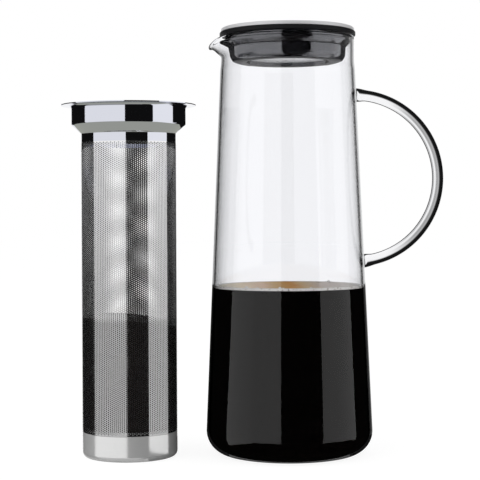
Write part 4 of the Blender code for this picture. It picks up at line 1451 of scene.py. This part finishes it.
def make_gap_cards(black, white):
    """The cards between jug and filter: what the jug's side mirrors, and what the filter's does."""
    heights = (GAP_CARD_BOTTOM, GAP_CARD_TOP)
    for name, places, finish in (("white", JUG_SIDE_WHITE, white), ("black", JUG_SIDE_BLACK, black)):
        ends = [(JUG_SIDE_X, place) for place in places]
        make_card(f"jug_side_{name}_card", ends, heights, finish)
    low = (GAP_CARD_BOTTOM, GAP_CUP_HEIGHT)
    high = (GAP_CUP_HEIGHT, GAP_CARD_TOP)
    for part, part_heights, stop in (("tube", low, TUBE_WHITE_STOP), ("cup", high, CUP_WHITE_STOP)):
        places = (FILTER_SIDE_BACK, stop, FILTER_SIDE_WHITE_START, FILTER_SIDE_FRONT)
        finishes = (black, white, black)
        for number, (start, end, finish) in enumerate(zip(places, places[1:], finishes)):
            ends = ((FILTER_SIDE_X, start), (FILTER_SIDE_X, end))
            make_card(f"{part}_side_card_{number + 1}", ends, part_heights, finish)


def make_cards():
    """The black cards in front and at both sides, and those close to the pieces."""
    black = card_material("black_card", BLACK_CARD_LEVEL)
    white = card_material("white_card", WHITE_CARD_LEVEL)
    grey = card_material("grey_card", SHOULDER_CARD_LEVEL, SHOULDER_CARD_COLOUR)
    make_card("front_card", FRONT_CARD_ENDS, FRONT_CARD_HEIGHTS, black, through_glass=True)
    for side, places in (("left", LEFT_FLAG_PLACES), ("right", RIGHT_FLAG_PLACES)):
        for number, ends in enumerate(zip(places, places[1:])):
            make_card(f"{side}_flag_{number + 1}", ends, FLAG_HEIGHTS, black)
    make_gap_cards(black, white)
    shoulder_height = FILTER_TUBE_TOP - SHOULDER_CARD_DROP
    radii = (FILTER_TUBE_RADIUS + FIT_GAP, SHOULDER_CARD_RADIUS)
    make_ring_card("shoulder_card", FILTER_AXIS, radii, shoulder_height, grey)
    radii = (JUG_FOOT_RADIUS, FOOT_CARD_RADIUS)
    make_ring_card("foot_card", (0.0, 0.0), radii, FOOT_CARD_HEIGHT, black)
    corners = [(*place, FOOT_CARD_HEIGHT) for place in FLOOR_CARD_PLACES]
    floor_card = flat_sheet("floor_card", corners, black)
    only_mirrored(floor_card, through_glass=True)
    floor_card.visible_glossy = False


def make_lamp(name, ends):
    """A broad soft lamp, upright between two floor places and facing the object."""
    start, stop = Vector((*ends[0], 0.0)), Vector((*ends[1], 0.0))
    along = (stop - start).normalized()
    data = bpy.data.lights.new(name, "AREA")
    data.shape = "RECTANGLE"
    data.size = (stop - start).length
    data.size_y = LAMP_HEIGHT
    data.energy = LAMP_RADIANCE * math.pi * data.size * data.size_y
    lamp = bpy.data.objects.new(name, data)
    up = Vector((0.0, 0.0, 1.0))
    middle = (start + stop) / 2 + up * LAMP_HEIGHT / 2
    back = along.cross(up)
    if back.dot(middle) < 0:
        along, back = -along, -back
    lamp.matrix_world = Matrix.Translation(middle) @ Matrix((along, up, back)).transposed().to_4x4()
    lamp.visible_camera = False
    lamp.visible_glossy = False
    lamp.visible_transmission = False
    bpy.context.scene.collection.objects.link(lamp)


def main():
    """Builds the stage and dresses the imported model."""
    make_camera()
    bpy.context.scene.view_settings.view_transform = "Standard"
    make_world()
    make_floor()
    make_cards()
    make_lamp("left_lamp", LEFT_LAMP_ENDS)
    make_lamp("right_lamp", RIGHT_LAMP_ENDS)

    wall_glass = glass_material("clear_glass", wall_shade, wall_gloss)
    rod_glass = glass_material("clear_glass_rod", rod_shade, rod_gloss)
    inner_glass = glass_material("clear_glass_inside", inside_shade, inside_gloss)
    make_jug(wall_glass, rod_glass, inner_glass)
    make_coffee(plain_material("coffee_body"), coffee_surface_material())
    liquid = liquid_edge_material()
    make_meniscus(liquid)
    make_bubbles(liquid)

    make_lid_cap(steel_material("cap_steel"))
    make_lid_plate(plain_material("black_plastic_satin"))
    plastic = mirroring_black_material("black_plastic")
    # The plug's disc takes the steel maker's fine lines, but its near-white is a painted reflection
    make_lid_plug(plastic, plain_material("black_plastic_foot"), steel_material("plug_disc_painted_highlight"))
    make_lid_seal(mirroring_black_material("black_silicone"))
    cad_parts["lid_cap_pad"].data.materials.clear()
    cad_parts["lid_cap_pad"].data.materials.append(plain_material("bonding_pad"))

    make_filter_rim(steel_material("polished_steel", FILTER_AXIS))
    perforated = perforated_steel_material()
    inside = steel_material("perforated_steel_inside", FILTER_AXIS)
    for number in range(HOLE_BANDS):
        make_tube_band(number, perforated, inside)
    make_filter_base(steel_material("satin_steel", FILTER_AXIS))
    make_grounds(grounds_material())


main()
